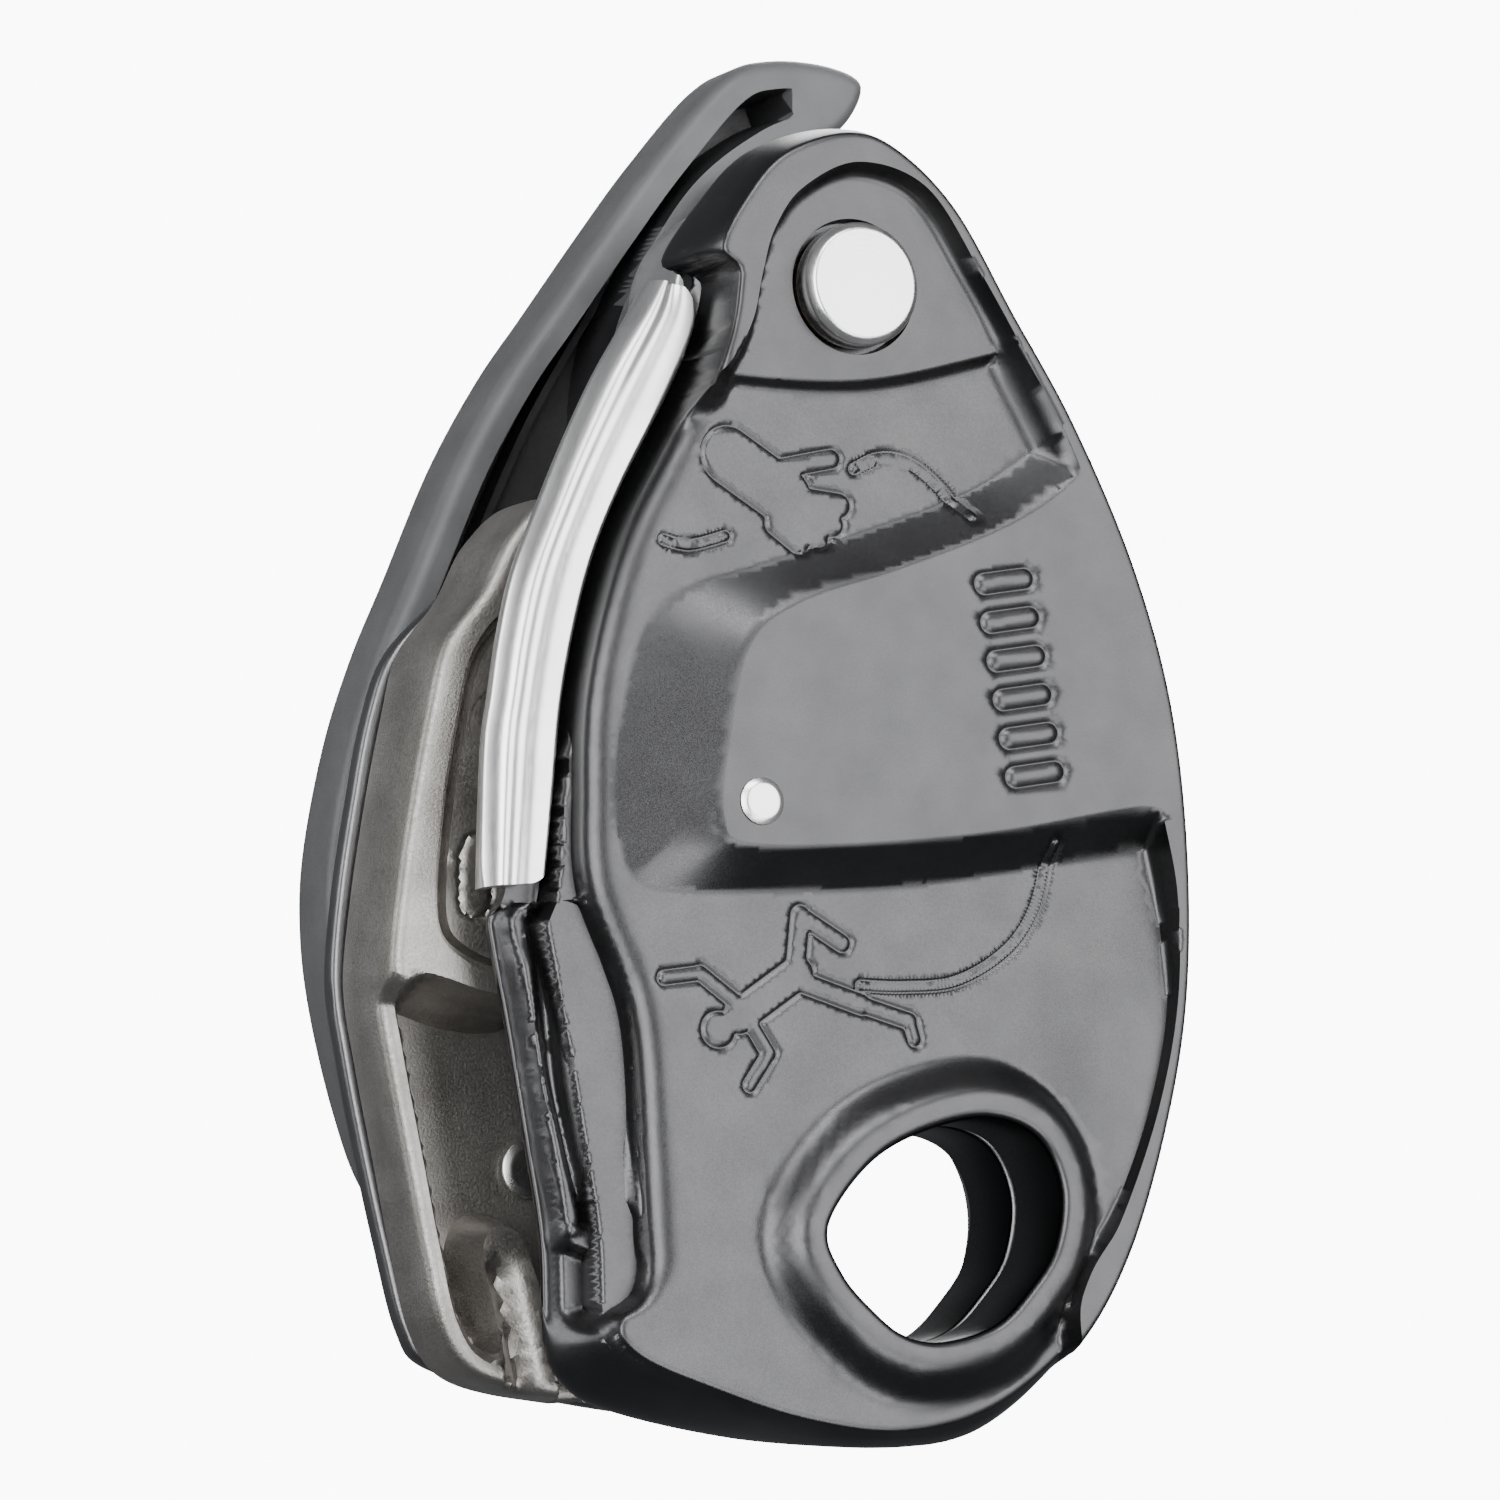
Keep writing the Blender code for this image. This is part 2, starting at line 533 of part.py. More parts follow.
def lip_insert(stations=22):
    """A curved steel strip: a front band that rolls back over the plate's left edge."""
    inner = curve(LIP_INNER, 1, closed=False)
    outer = curve(LIP_OUTER, 1, closed=False)
    take = np.linspace(0, 1, stations)
    inner = np.array([inner[round(t * (len(inner) - 1))] for t in take])
    outer = np.array([outer[round(t * (len(outer) - 1))] for t in take])
    verts, faces = [], []
    wrap, under = LIP_BACK - LIP_FRONT, LIP_SEAT - GAP - LIP_FRONT
    section = [(0.0, 0.2), (0.15, 0.0), (0.42, 0.15), (0.66, 0.45), (0.76, 0.25), (0.95, 0.6),
               (1.06, 1.5), (1.08, 2.0), (1.0, wrap), (0.78, wrap), (0.78, under), (0.4, under),
               (0.0, 1.6)]
    for a, b in zip(inner, outer):
        for across, depth in section:
            p = a + (b - a) * across
            verts.append((p[0], LIP_FRONT + depth, p[1]))
    m = len(section)
    for k in range(stations - 1):
        for i in range(m):
            p, q = k * m + i, k * m + (i + 1) % m
            faces.append((p, p + m, q + m, q))
    faces.append(tuple(range(m)))
    faces.append(tuple(range((stations - 1) * m, stations * m))[::-1])
    return verts, faces


# ---------------------------------------------------------------- the fixed side

def body_front(points):
    """Depth of the friction body's front: channel floor, rounded lip, block, panel and rib."""
    x, z = points.T
    edge = curve(BODY, 1.5)
    left = distance(points, edge[(edge[:, 0] < -31)], closed=False)
    lip = smooth((3.6 - left) / 2.8) * smooth((-26 - x) / 4) * smooth((24 - z) / 3 + 1)
    depth = FLOOR - (FLOOR - CREST) * lip
    rib = smooth(depth_in(points, curve(RIB, 1.5)) / 1.2)
    groove = np.exp(-((x + 26.8 - 0.1 * z) / 0.8) ** 2)
    depth = np.minimum(depth, FLOOR - (4.2 - 1.6 * groove) * rib)
    block = smooth(depth_in(points, curve(BLOCK, 2)) / 1.6)
    depth = depth + (BLOCK_FRONT - depth) * block
    panel = depth_in(points, curve(PANEL, 1.5))
    depth = depth + 0.9 * smooth(panel / 0.4) - 0.4 * smooth((panel - 0.9) / 0.4)
    outer_round = 1.0 * smooth((0.9 - left) / 0.9) * (x < -28)
    return depth + outer_round


def body_back(points):
    """The friction body lies flat on the fixed plate."""
    return np.full(len(points), BODY_BACK)


def fixed_front(points):
    """Depth of the fixed plate's front: flat, with the eye's collar and a counterbore."""
    x, z = points.T
    collar = smooth((5.8 - distance(points, curve(EYE, 1.0))) / 2.4)
    depth = FIXED_FRONT - (FIXED_FRONT - EYE_MEET - GAP / 2) * collar
    bore = np.hypot(x - SELECTOR[0], z - SELECTOR[1]) < 3.75
    return np.where(bore, FIXED_FRONT + 1.3, depth)


def fixed_back(points):
    """Depth of the fixed plate's back: flat, dished round the eye, rounded at its edge."""
    dish = np.clip(1 - distance(points, curve(EYE, 1.0)) / 5.0, 0, 1)
    edge = smooth((1.2 - distance(points, curve(FIXED, 1.5))) / 1.2)
    return FIXED_BACK - (FIXED_BACK - 15.0) * dish - 0.7 * edge


RIVETS = [(-24.3, 7.6), (-13.5, 50.5), (11.5, 22.5), (-18.5, 15.0)]
DETENT = (SELECTOR[0] + 4.3, SELECTOR[1])
STOP_PIN = (-21.3, 37.6)
HANDLE_STOP = (4.3, 80.4)


def drive_slot(spare):
    """The arc in the fixed side that the cam's drive pin moves along."""
    return arc_slot(CAM_AXLE, DRIVE_R, 1.6 + spare, DRIVE_AT - CAM_SWING - 3, DRIVE_AT + 3)


def make_fixed_side(body, looks):
    """The fixed plate, the friction body and shoe, and the pins and rivets they hold."""
    outline, eye = anticlockwise(curve(BODY, 2.8)), curve(EYE, 2.2)
    axle_hole = circle(CAM_AXLE, AXLE_R + GAP, 16)
    rivet_holes = [circle(p, 1.8, 10) for p in RIVETS]
    loops = [outline, axle_hole, drive_slot(0.5), *rivet_holes, circle(STOP_PIN, 1.5, 10)]
    block = anticlockwise(curve(BLOCK, 2.6))
    rows = [inset(outline, d) for d in (0.9, 2.1, 3.4)]
    rows += [block, inset(block, 0.8), inset(block, 1.6)]
    rows += [curve(PANEL, 2), inset(anticlockwise(curve(PANEL, 2)), 1.2)]
    rows += [curve(RIB, 2), inset(anticlockwise(curve(RIB, 2)), 1.2)]
    rows += [circle(p, 2.7, 10) for p in RIVETS]
    solid = relief(loops, body_front, body_back, rows, 2.3)
    add("friction_body", body, looks["blasted"], *solid)

    outline = anticlockwise(curve(FIXED, 3.2))
    pivot_hole = circle(MAIN_PIVOT, PIN_R + GAP, 20)
    loops = [outline, eye, axle_hole, pivot_hole, drive_slot(0.5), *rivet_holes,
             circle(STOP_PIN, 1.5, 10), circle(SELECTOR, 2.4, 12), circle(DETENT, 1.2, 10),
             circle(HANDLE_STOP, 1.35, 10)]
    rows = [inset(outline, 1.2), circle(SELECTOR, 3.6, 12), circle(SELECTOR, 3.9, 12)]
    rows += [inset(eye, -d) for d in (3.4, 5.0, 5.8)]
    solid = relief(loops, fixed_front, fixed_back, rows, 4.5)
    add("fixed_side_plate", body, looks["alloy"], *solid)

    shoe = [(PIN_R + GAP, 5.9), (PIN_R + GAP, BODY_BACK), (SHOE_R, BODY_BACK), (SHOE_R, 13.0),
            (SHOE_R - 0.8, 12.0), (7.0, 11.8), (7.0, 7.0), (6.6, 6.5), (5.6, 6.3), (5.2, 5.9)]
    add("friction_shoe", body, looks["polished"], *turned(MAIN_PIVOT, shoe, 36))
    pin = [(0, -0.2), (PIVOT_HEAD_R - 0.5, -0.2), (PIVOT_HEAD_R, 0.4), (PIVOT_HEAD_R, 2.1),
           (PIN_R, 2.1), (PIN_R, FIXED_BACK + GAP), (5.2, FIXED_BACK + GAP), (5.2, 26.2),
           (4.6, 26.8), (0, 26.8)]
    add("main_pivot_pin", body, looks["polished"], *turned(MAIN_PIVOT, pin))
    washer = sleeve(MAIN_PIVOT, PIN_R + GAP, 4.8, PLATE_BACK + GAP, 5.55)
    add("pivot_washer", body, looks["bronze"], *washer)
    axle = [(0, 6.25), (4.7, 6.25), (5.0, 6.4), (5.0, 6.75), (AXLE_R, 6.75), (AXLE_R, 32.4),
            (AXLE_R - 0.4, 32.8), (0, 32.8)]
    add("cam_axle", body, looks["steel"], *turned(CAM_AXLE, axle))
    ring = sleeve(CAM_AXLE, AXLE_R + GAP, 5.4, FIXED_BACK + GAP, 25.1)
    add("axle_retaining_ring", body, looks["steel"], *ring)
    make_rivets(body, looks)
    pin = [(0, CAM_FRONT + 1), (1.0, CAM_FRONT + 1), (1.2, CAM_FRONT + 1.4), (1.2, 24.0), (0, 24.0)]
    add("cam_stop_pin", body, looks["steel"], *turned(STOP_PIN, pin, 12))
    pin = [(0, 22.0), (1.05, 22.0), (1.05, 27.6), (0.8, 28.0), (0, 28.0)]
    add("handle_stop_pin", body, looks["steel"], *turned(HANDLE_STOP, pin, 12))


def make_rivets(body, looks):
    """The rivets that hold the friction body to the fixed plate."""
    head = CAM_BACK + GAP  # the cam passes over the heads
    profile = [(0, head), (1.6, head), (2.2, head + 0.2), (2.2, FLOOR - GAP), (1.45, FLOOR - GAP),
               (1.45, FIXED_BACK - 0.1), (0, FIXED_BACK - 0.1)]
    for n, at in enumerate(RIVETS, 1):
        add(f"friction_body_rivet_{n}", body, looks["steel"], *turned(at, profile, 14))


def make_selector_detent(body, looks):
    """The ball and the spring that hold the mode selector in each position."""
    centre, r = 23.6, 0.85
    rings = [(r * sin(a), centre - r * cos(a)) for a in np.linspace(0, pi, 7)]
    rings[0], rings[-1] = (0, centre - r), (0, centre + r)
    add("detent_ball", body, looks["steel"], *turned(DETENT, rings, 12))
    path = coil_path(DETENT, 0.65, 21.3, 22.4, 2.5, 0, 10)
    add("detent_spring", body, looks["steel"], *swept(path, 0.16, 5))


# ---------------------------------------------------------------- the cam

def cam_outline(step=2.2):
    """The cam's outline: its round rope face and its braking nose, joined by tangents."""
    (ax, az), (bx, bz) = CAM_CENTRE, NOSE_CENTRE
    span = hypot(bx - ax, bz - az)
    facing = np.degrees(np.arctan2(bz - az, bx - ax))
    lean = np.degrees(np.arccos((CAM_R - NOSE_R) / span))
    big = np.arange(facing + lean, facing + 360 - lean, 9)
    small = np.linspace(facing - lean, facing + lean, 9)
    points = [polar(CAM_CENTRE, CAM_R, a) for a in big]
    points += [polar(CAM_CENTRE, CAM_R, facing + 360 - lean)]
    points += [polar(NOSE_CENTRE, NOSE_R, a) for a in small]
    return np.array(points)


def make_cam(body, looks):
    """The cam with its rope groove, its bush, its return spring and its drive pin."""
    outline = cam_outline()
    middle = (CAM_FRONT + CAM_BACK) / 2
    groove = [(ROPE_GROOVE * (1 - (t / 4.8) ** 2), middle + t) for t in np.linspace(-4.8, 4.8, 7)]
    profile = [(0.7, CAM_FRONT), (0, CAM_FRONT + 0.7), *groove, (0, CAM_BACK - 0.7),
               (0.7, CAM_BACK)]
    bore = circle(CAM_AXLE, AXLE_R + 1.3, 20)
    pin_hole = circle(polar(CAM_AXLE, DRIVE_R, DRIVE_AT), 1.85, 12)
    add("cam", body, looks["steel"], *stack(outline, profile, [bore, pin_hole]))
    bush = sleeve(CAM_AXLE, AXLE_R + GAP, AXLE_R + 1.0, CAM_FRONT + 0.2, CAM_BACK - 2.4, 20)
    add("cam_bush", body, looks["bronze"], *bush)
    spring = swept(coil_path(CAM_AXLE, AXLE_R + 0.67, 17.15, 18.6, 2.1, 0), 0.3)
    add("cam_return_spring", body, looks["steel"], *spring)
    pin = [(0, CAM_FRONT + 3), (1.5, CAM_FRONT + 3), (1.5, 26.4), (1.2, 26.8), (0, 26.8)]
    at = polar(CAM_AXLE, DRIVE_R, DRIVE_AT)
    add("cam_drive_pin", body, looks["steel"], *turned(at, pin, 14))


# ---------------------------------------------------------------- the handle

def handle_front(points):
    """Depth of the handle's open front: a wall round a hollow, a hub seat and a web."""
    x, z = points.T
    edge = distance(points, curve(HANDLE, 1.5))
    hub = np.hypot(x - CAM_AXLE[0], z - CAM_AXLE[1])
    wall = smooth((2.9 - edge) / 0.8) * (hub > 11.5)
    floor = np.where(hub < 11.6, 30.3, 30.3 - 2.6 * smooth((26 - z) / 8) * (hub > 14))
    floor = np.where(hub < AXLE_R + 2.0, 27.6, floor)
    solid_tip = smooth((x - 6.8) / 1.5) * (z > 78)
    depth = floor + (HANDLE_FRONT - floor) * np.maximum(wall, solid_tip)
    ring = (hub > 11.5) & (hub < 12.7) & ((x > CAM_AXLE[0]) | (abs(z - CAM_AXLE[1]) > 4.5))
    return np.where(ring, np.minimum(depth, 25.4), depth)


def handle_back(points):
    """Depth of the handle's domed back."""
    edge = distance(points, curve(HANDLE, 1.5))
    return HANDLE_BACK - 2.6 * (1 - np.sqrt(1 - np.clip(1 - edge / 3.2, 0, 0.995) ** 2))


def make_handle(body, looks):
    """The folding release handle with its steel drive plate, spring and cap."""
    outline = anticlockwise(curve(HANDLE, 3.0))
    bore = circle(CAM_AXLE, AXLE_R + 0.4, 16)
    pawl = circle(PAWL_PIN, 1.3, 10)
    rows = [inset(outline, d) for d in (1.1, 2.1, 3.0)]
    rows += [circle(CAM_AXLE, r, 24) for r in (5.1, 5.4, 11.3, 11.7, 12.6, 12.9)]
    solid = relief([outline, bore, pawl], handle_front, handle_back, rows, 4.5)
    add("release_handle", body, looks["nylon"], *solid)
    slot = arc_slot(CAM_AXLE, DRIVE_R, 2.2, DRIVE_AT - 165, DRIVE_AT + 4, 14)
    notch = [polar(CAM_AXLE, 11.0, a) for a in np.arange(186, 535, 9.0)]
    rim = np.array(notch + [polar(CAM_AXLE, 10.3, 176), polar(CAM_AXLE, 10.3, 184)])
    plate = plate_solid(rim, 25.5, 27.2, 0.25, [circle(CAM_AXLE, AXLE_R + GAP, 18), slot])
    add("handle_drive_plate", body, looks["steel"], *plate)
    cap = [(0, 33.3), (6.6, 33.3), (6.9, 33.6), (6.5, 34.2), (3.0, 34.7), (0, 34.8)]
    add("hub_cap", body, looks["dark"], *turned(CAM_AXLE, cap))
    path = coil_path(CAM_AXLE, 8.2, 28.2, 29.8, 1.9, 20)
    add("handle_return_spring", body, looks["steel"], *swept(path, 0.35))
    pin = [(0, 25.2), (1.0, 25.2), (1.0, 32.4), (0, 32.4)]
    add("pawl_pin", body, looks["steel"], *turned(PAWL_PIN, pin, 12))


def make_pawl(body, looks):
    """The anti-panic pawl, which lets go of the drive plate when the handle is pulled too far."""
    x, z = PAWL_PIN
    outline = curve([(x - 2.6, z), (x - 1.6, z - 2.2), (x + 1.2, z - 2.4), (x + 6.4, z - 0.7),
                     (x + 6.4, z + 0.7), (x + 1.6, z + 2.2), (x - 1.4, z + 2.3)], 1.6)
    solid = plate_solid(outline, 25.6, 27.4, 0.2, [circle(PAWL_PIN, 1.3, 12)])
    add("anti_panic_pawl", body, looks["steel"], *solid)


def make_pawl_spring(body, looks):
    """The spring that keeps the pawl in its notch, wound round the pawl's pin."""
    path = coil_path(PAWL_PIN, 1.75, 28.0, 29.6, 2.5, 40, 10)
    add("pawl_spring", body, looks["steel"], *swept(path, 0.25, 5))


# ---------------------------------------------------------------- the selector

def make_selector(body, looks):
    """The mode selector: a scalloped knob and the screw that holds it to the fixed plate."""
    angles = np.arange(48) * 7.5
    rim = np.array([polar(SELECTOR, KNOB_R - 0.35 * (1 - cos(radians(a * 8))), a)
                    for a in angles])
    profile = [(0.4, 24.85), (0, 25.2), (0, 27.4), (0.8, 28.2)]
    add("selector_knob", body, looks["dark"],
        *stack(rim, profile, [circle(SELECTOR, 2.4, 14)]))
    screw = [(0, FIXED_FRONT + 0.1), (3.2, FIXED_FRONT + 0.1), (3.2, FIXED_FRONT + 0.9),
             (2.0, FIXED_FRONT + 0.9), (2.0, 27.6), (1.6, 28.0), (0, 28.0)]
    add("selector_screw", body, looks["steel"], *turned(SELECTOR, screw, 18))


# ---------------------------------------------------------------- the scene

def look(name, colour, roughness, metallic):
    """A Principled material."""
    made = bpy.data.materials.new(name)
    made.use_nodes = True
    shader = made.node_tree.nodes["Principled BSDF"]
    shader.inputs["Base Color"].default_value = (*colour, 1)
    shader.inputs["Roughness"].default_value = roughness
    shader.inputs["Metallic"].default_value = metallic
    return made


def body_empty(name, at):
    """The empty that a moving body hangs on, on its joint's axis."""
    empty = bpy.data.objects.new(name, None)
    bpy.context.scene.collection.objects.link(empty)
    empty.location = (at[0] * MM, 0, at[1] * MM)
    empty.empty_display_size = 0.01
    return empty


def main():
    for obj in list(bpy.data.objects):
        bpy.data.objects.remove(obj, do_unlink=True)
    looks = {
        "charcoal": look("anodised_charcoal", (0.16, 0.16, 0.165), 0.34, 0.9),
        "polished": look("polished_steel", (0.80, 0.80, 0.79), 0.2, 1.0),
        "blasted": look("blasted_steel", (0.50, 0.48, 0.46), 0.5, 1.0),
        "alloy": look("anodised_alloy", (0.30, 0.30, 0.31), 0.38, 0.9),
        "steel": look("machined_steel", (0.62, 0.62, 0.62), 0.3, 1.0),
        "bronze": look("bronze", (0.55, 0.38, 0.2), 0.4, 1.0),
        "nylon": look("grey_nylon", (0.12, 0.12, 0.125), 0.5, 0.0),
        "dark": look("black_plastic", (0.03, 0.03, 0.032), 0.45, 0.0),
    }
    fixed = body_empty("fixed_side", (0, 0))
    make_fixed_side(fixed, looks)
    make_selector_detent(fixed, looks)
    make_swinging_plate(body_empty("swinging_side", MAIN_PIVOT), looks)
    make_cam(body_empty("cam_assembly", CAM_AXLE), looks)
    make_handle(body_empty("handle_assembly", CAM_AXLE), looks)
    pawl = body_empty("pawl_assembly", PAWL_PIN)
    make_pawl(pawl, looks)
    make_pawl_spring(pawl, looks)
    make_selector(body_empty("selector_assembly", SELECTOR), looks)


main()
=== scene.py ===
"""Looks of the belay device: each piece in fine detail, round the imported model's frame."""
import json
from math import cos, hypot, pi, radians, sin

import bmesh
import bpy
import numpy as np
from mathutils import Matrix, Vector
from mathutils.geometry import delaunay_2d_cdt
from mathutils.kdtree import KDTree


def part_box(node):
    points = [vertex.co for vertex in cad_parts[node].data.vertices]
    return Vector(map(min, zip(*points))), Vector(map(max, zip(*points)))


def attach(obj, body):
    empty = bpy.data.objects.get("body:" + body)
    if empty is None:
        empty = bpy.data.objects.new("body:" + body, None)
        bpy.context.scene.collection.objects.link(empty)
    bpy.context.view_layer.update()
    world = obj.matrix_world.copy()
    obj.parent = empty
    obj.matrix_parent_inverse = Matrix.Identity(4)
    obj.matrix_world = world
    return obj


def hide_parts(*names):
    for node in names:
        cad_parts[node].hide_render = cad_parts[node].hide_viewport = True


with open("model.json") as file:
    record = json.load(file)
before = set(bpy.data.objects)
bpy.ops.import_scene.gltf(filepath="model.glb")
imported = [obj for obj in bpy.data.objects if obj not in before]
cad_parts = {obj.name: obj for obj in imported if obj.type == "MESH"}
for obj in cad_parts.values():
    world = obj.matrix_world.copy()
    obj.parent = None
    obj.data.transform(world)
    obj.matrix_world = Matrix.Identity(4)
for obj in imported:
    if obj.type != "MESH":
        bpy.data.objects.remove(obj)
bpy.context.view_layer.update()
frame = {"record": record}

MM = 0.001
GAP = 0.3  # left between pieces that touch
JOINTS = {j["name"]: j for j in frame["record"]["behaviour"]["joints"]}


def axis_at(joint):
    """A hinge's axis, which runs along +Y, as (x, z) in millimetres."""
    x, _, z = JOINTS[joint]["pos_m"]
    return x / MM, z / MM


MAIN_PIVOT = axis_at("swinging_side_hinge")
CAM_AXLE = axis_at("cam_hinge")
SELECTOR = axis_at("selector_turn")
PAWL_PIN = axis_at("pawl_hinge")
SPACER = (-12.3, 32.3)

# Depths along +Y, the same as in the CAD model
POCKET, PLATE_BACK, RIM_BACK, FLANGE_BACK = 2.5, 4.8, 6.0, 9.5
LIP_FRONT, LIP_SEAT, LIP_BACK, EYE_MEET = 5.0, 7.7, 8.6, 8.2
SEAT_WIDTH = 1.95  # of the lip insert's seat, in from the plate's edge
SEAT_LOW, SEAT_HIGH = 26.2, 72.8  # heights the lip insert's seat runs between
EDGE_DROP = 0.6  # how far a rounded edge falls, for each millimetre it is rounded
STEP_WIDTH = 0.9  # of the slope below the pivot's raised seat
CAM_FRONT, CAM_BACK = 7.0, 19.0
BLOCK_FRONT, CREST, FLOOR, BODY_BACK = 12.0, 15.0, 20.0, 21.4
FIXED_FRONT, FIXED_BACK = BODY_BACK + GAP, 24.2
HANDLE_FRONT, HANDLE_BACK = 24.8, 33.0
PIN_R, PIVOT_HEAD_R, SHOE_R, AXLE_R = 3.5, 4.65, 9.3, 3.2
CAM_R, NOSE_R, CAM_CENTRE, NOSE_CENTRE = 12.5, 2.8, (-3.5, 35.5), (-17.3, 44.5)
DRIVE_R, DRIVE_AT, CAM_SWING, KNOB_R, ROPE_GROOVE = 7.5, 250.0, 30.0, 6.2, 1.7
RIVETS = [(-24.3, 7.6), (-13.5, 50.5), (11.5, 22.5), (-18.5, 15.0)]
DETENT, STOP_PIN, HANDLE_STOP = (SELECTOR[0] + 4.3, SELECTOR[1]), (-21.3, 37.6), (4.3, 80.4)

ROUND = 96  # facets round a turned piece
LINE = 0.45  # spacing of mesh points along edges
FIELD = 0.75  # spacing of mesh points on open surfaces


# ---------------------------------------------------------------- outlines

def curve(points, step=LINE, closed=True):
    """Points spaced by about step along a smooth curve through the given ones."""
    pts = np.array(points, float)
    n = len(pts)
    fine = []
    for i in range(n if closed else n - 1):
        if closed:
            a, b, c, d = (pts[(i + k) % n] for k in (-1, 0, 1, 2))
        else:
            a, b, c, d = (pts[min(max(i + k, 0), n - 1)] for k in (-1, 0, 1, 2))
        for t in np.arange(16) / 16:
            fine.append(0.5 * (2 * b + (c - a) * t + (2 * a - 5 * b + 4 * c - d) * t ** 2
                               + (3 * b - a - 3 * c + d) * t ** 3))
    fine = np.array(fine + [pts[0] if closed else pts[-1]])
    return respaced(fine, step, closed)


def respaced(line, step, closed=True):
    """A line of points resampled to an even spacing; a closed one ends at its start."""
    along = np.r_[0, np.cumsum(np.hypot(*np.diff(line, axis=0).T))]
    count = max(6, round(along[-1] / step))
    at = np.linspace(0, along[-1], count + 1)
    if closed:
        at = at[:-1]
    return np.c_[np.interp(at, along, line[:, 0]), np.interp(at, along, line[:, 1])]


def circle(centre, radius, count=ROUND):
    """A closed loop of points, anticlockwise seen from the front."""
    a = np.arange(count) * 2 * pi / count
    return np.c_[centre[0] + radius * np.cos(a), centre[1] + radius * np.sin(a)]


def polar(centre, radius, degrees):
    """The point at an angle and a distance from a centre."""
    a = radians(degrees)
    return centre[0] + radius * cos(a), centre[1] + radius * sin(a)


def arc_slot(centre, radius, half_width, start, end, count=24):
    """A closed loop round an arc-shaped slot with round ends."""
    outer = [polar(centre, radius + half_width, a) for a in np.linspace(start, end, count)]
    inner = [polar(centre, radius - half_width, a) for a in np.linspace(end, start, count)]
    tip_a = [polar(polar(centre, radius, end), half_width, end + k * 18) for k in range(1, 10)]
    tip_b = [polar(polar(centre, radius, start), half_width, start + 180 + k * 18)
             for k in range(1, 10)]
    return np.array(outer + tip_a + inner + tip_b)


def signed_area(loop):
    """Twice the area of a loop, positive when it runs anticlockwise."""
    x, z = loop.T
    return np.sum(x * np.roll(z, -1) - np.roll(x, -1) * z)


def anticlockwise(loop):
    """The loop, turned to run anticlockwise seen from the front."""
    return loop if signed_area(loop) > 0 else loop[::-1]


def inset(loop, amount):
    """The loop moved inwards by an amount, or outwards when it is negative."""
    ahead, behind = np.roll(loop, -1, 0) - loop, loop - np.roll(loop, 1, 0)
    ahead /= np.linalg.norm(ahead, axis=1)[:, None]
    behind /= np.linalg.norm(behind, axis=1)[:, None]
    along = ahead + behind
    along /= np.linalg.norm(along, axis=1)[:, None]
    inward = np.c_[-along[:, 1], along[:, 0]] * np.sign(signed_area(loop))
    return loop + inward * amount


def distance(points, line, closed=True):
    """How far each point is from a line of short straight stretches."""
    line = np.asarray(line, float)
    last = len(line) - (0 if closed else 1)
    nearest = nearest_of(points, line)[0]
    out = np.full(len(points), np.inf)
    for first in (nearest - 1, nearest):
        first = first % last if closed else np.clip(first, 0, last - 1)
        start = line[first]
        run = line[(first + 1) % len(line)] - start
        square = np.maximum((run ** 2).sum(1), 1e-12)
        t = np.clip(((points - start) * run).sum(1) / square, 0, 1)
        out = np.minimum(out, np.hypot(*(points - start - t[:, None] * run).T))
    return out


def nearest_of(points, others):
    """The index of the other point nearest to each point, and how far away it is."""
    tree = KDTree(len(others))
    for i, (x, z) in enumerate(others):
        tree.insert((x, z, 0), i)
    tree.balance()
    found = [tree.find((x, z, 0))[1:] for x, z in points]
    index, gap = zip(*found)
    return np.array(index), np.array(gap)


def within(points, loop):
    """Which points lie inside a closed loop."""
    x, z = points.T
    hit = np.zeros(len(points), bool)
    for (ax, az), (bx, bz) in zip(loop, np.roll(loop, -1, 0)):
        if az != bz:
            crosses = (az > z) != (bz > z)
            hit ^= crosses & (x < ax + (z - az) * (bx - ax) / (bz - az))
    return hit


def depth_in(points, loop):
    """Distance inside a loop, negative outside it."""
    return np.where(within(points, np.asarray(loop)), 1, -1) * distance(points, loop)


def smooth(t):
    """An easing from 0 to 1."""
    t = np.clip(t, 0, 1)
    return t * t * (3 - 2 * t)


def ramp(t):
    """A straight rise from 0 to 1."""
    return np.clip(t, 0, 1)


def fillet(d, radius):
    """How far a rounded edge has fallen at a distance d from it."""
    return radius * (1 - np.sqrt(1 - np.clip(1 - d / radius, 0, 1) ** 2))


# The swinging plate: its front face's edge, and its outer edge at the back of its wall
FACE = [(-0.1, 81.8), (3.9, 80.5), (8.4, 75.9), (12.5, 67.9), (16.7, 59.6), (20.6, 49.1),
        (22.8, 38.6), (23.1, 27.5), (21.9, 16.4), (19.2, 6.9), (15.0, -2.6), (10.0, -9.1),
        (3.4, -13.2), (-4.3, -14.3), (-12.4, -12.7), (-20.3, -9.6), (-24.4, -7.6),
        (-26.2, -5.8), (-26.0, -4.3), (-24.2, -3.2), (-23.2, -1.2), (-23.0, 2.0),
        (-22.8, 8.0), (-22.8, 18.0), (-25.4, 27.0), (-25.1, 34.0),
        (-24.2, 40.7), (-22.2, 47.2), (-19.4, 53.4), (-15.2, 59.8), (-12.5, 64.2),
        (-11.0, 67.6), (-10.3, 70.4), (-10.2, 71.8), (-11.4, 73.4), (-9.2, 76.9),
        (-5.6, 80.3)]
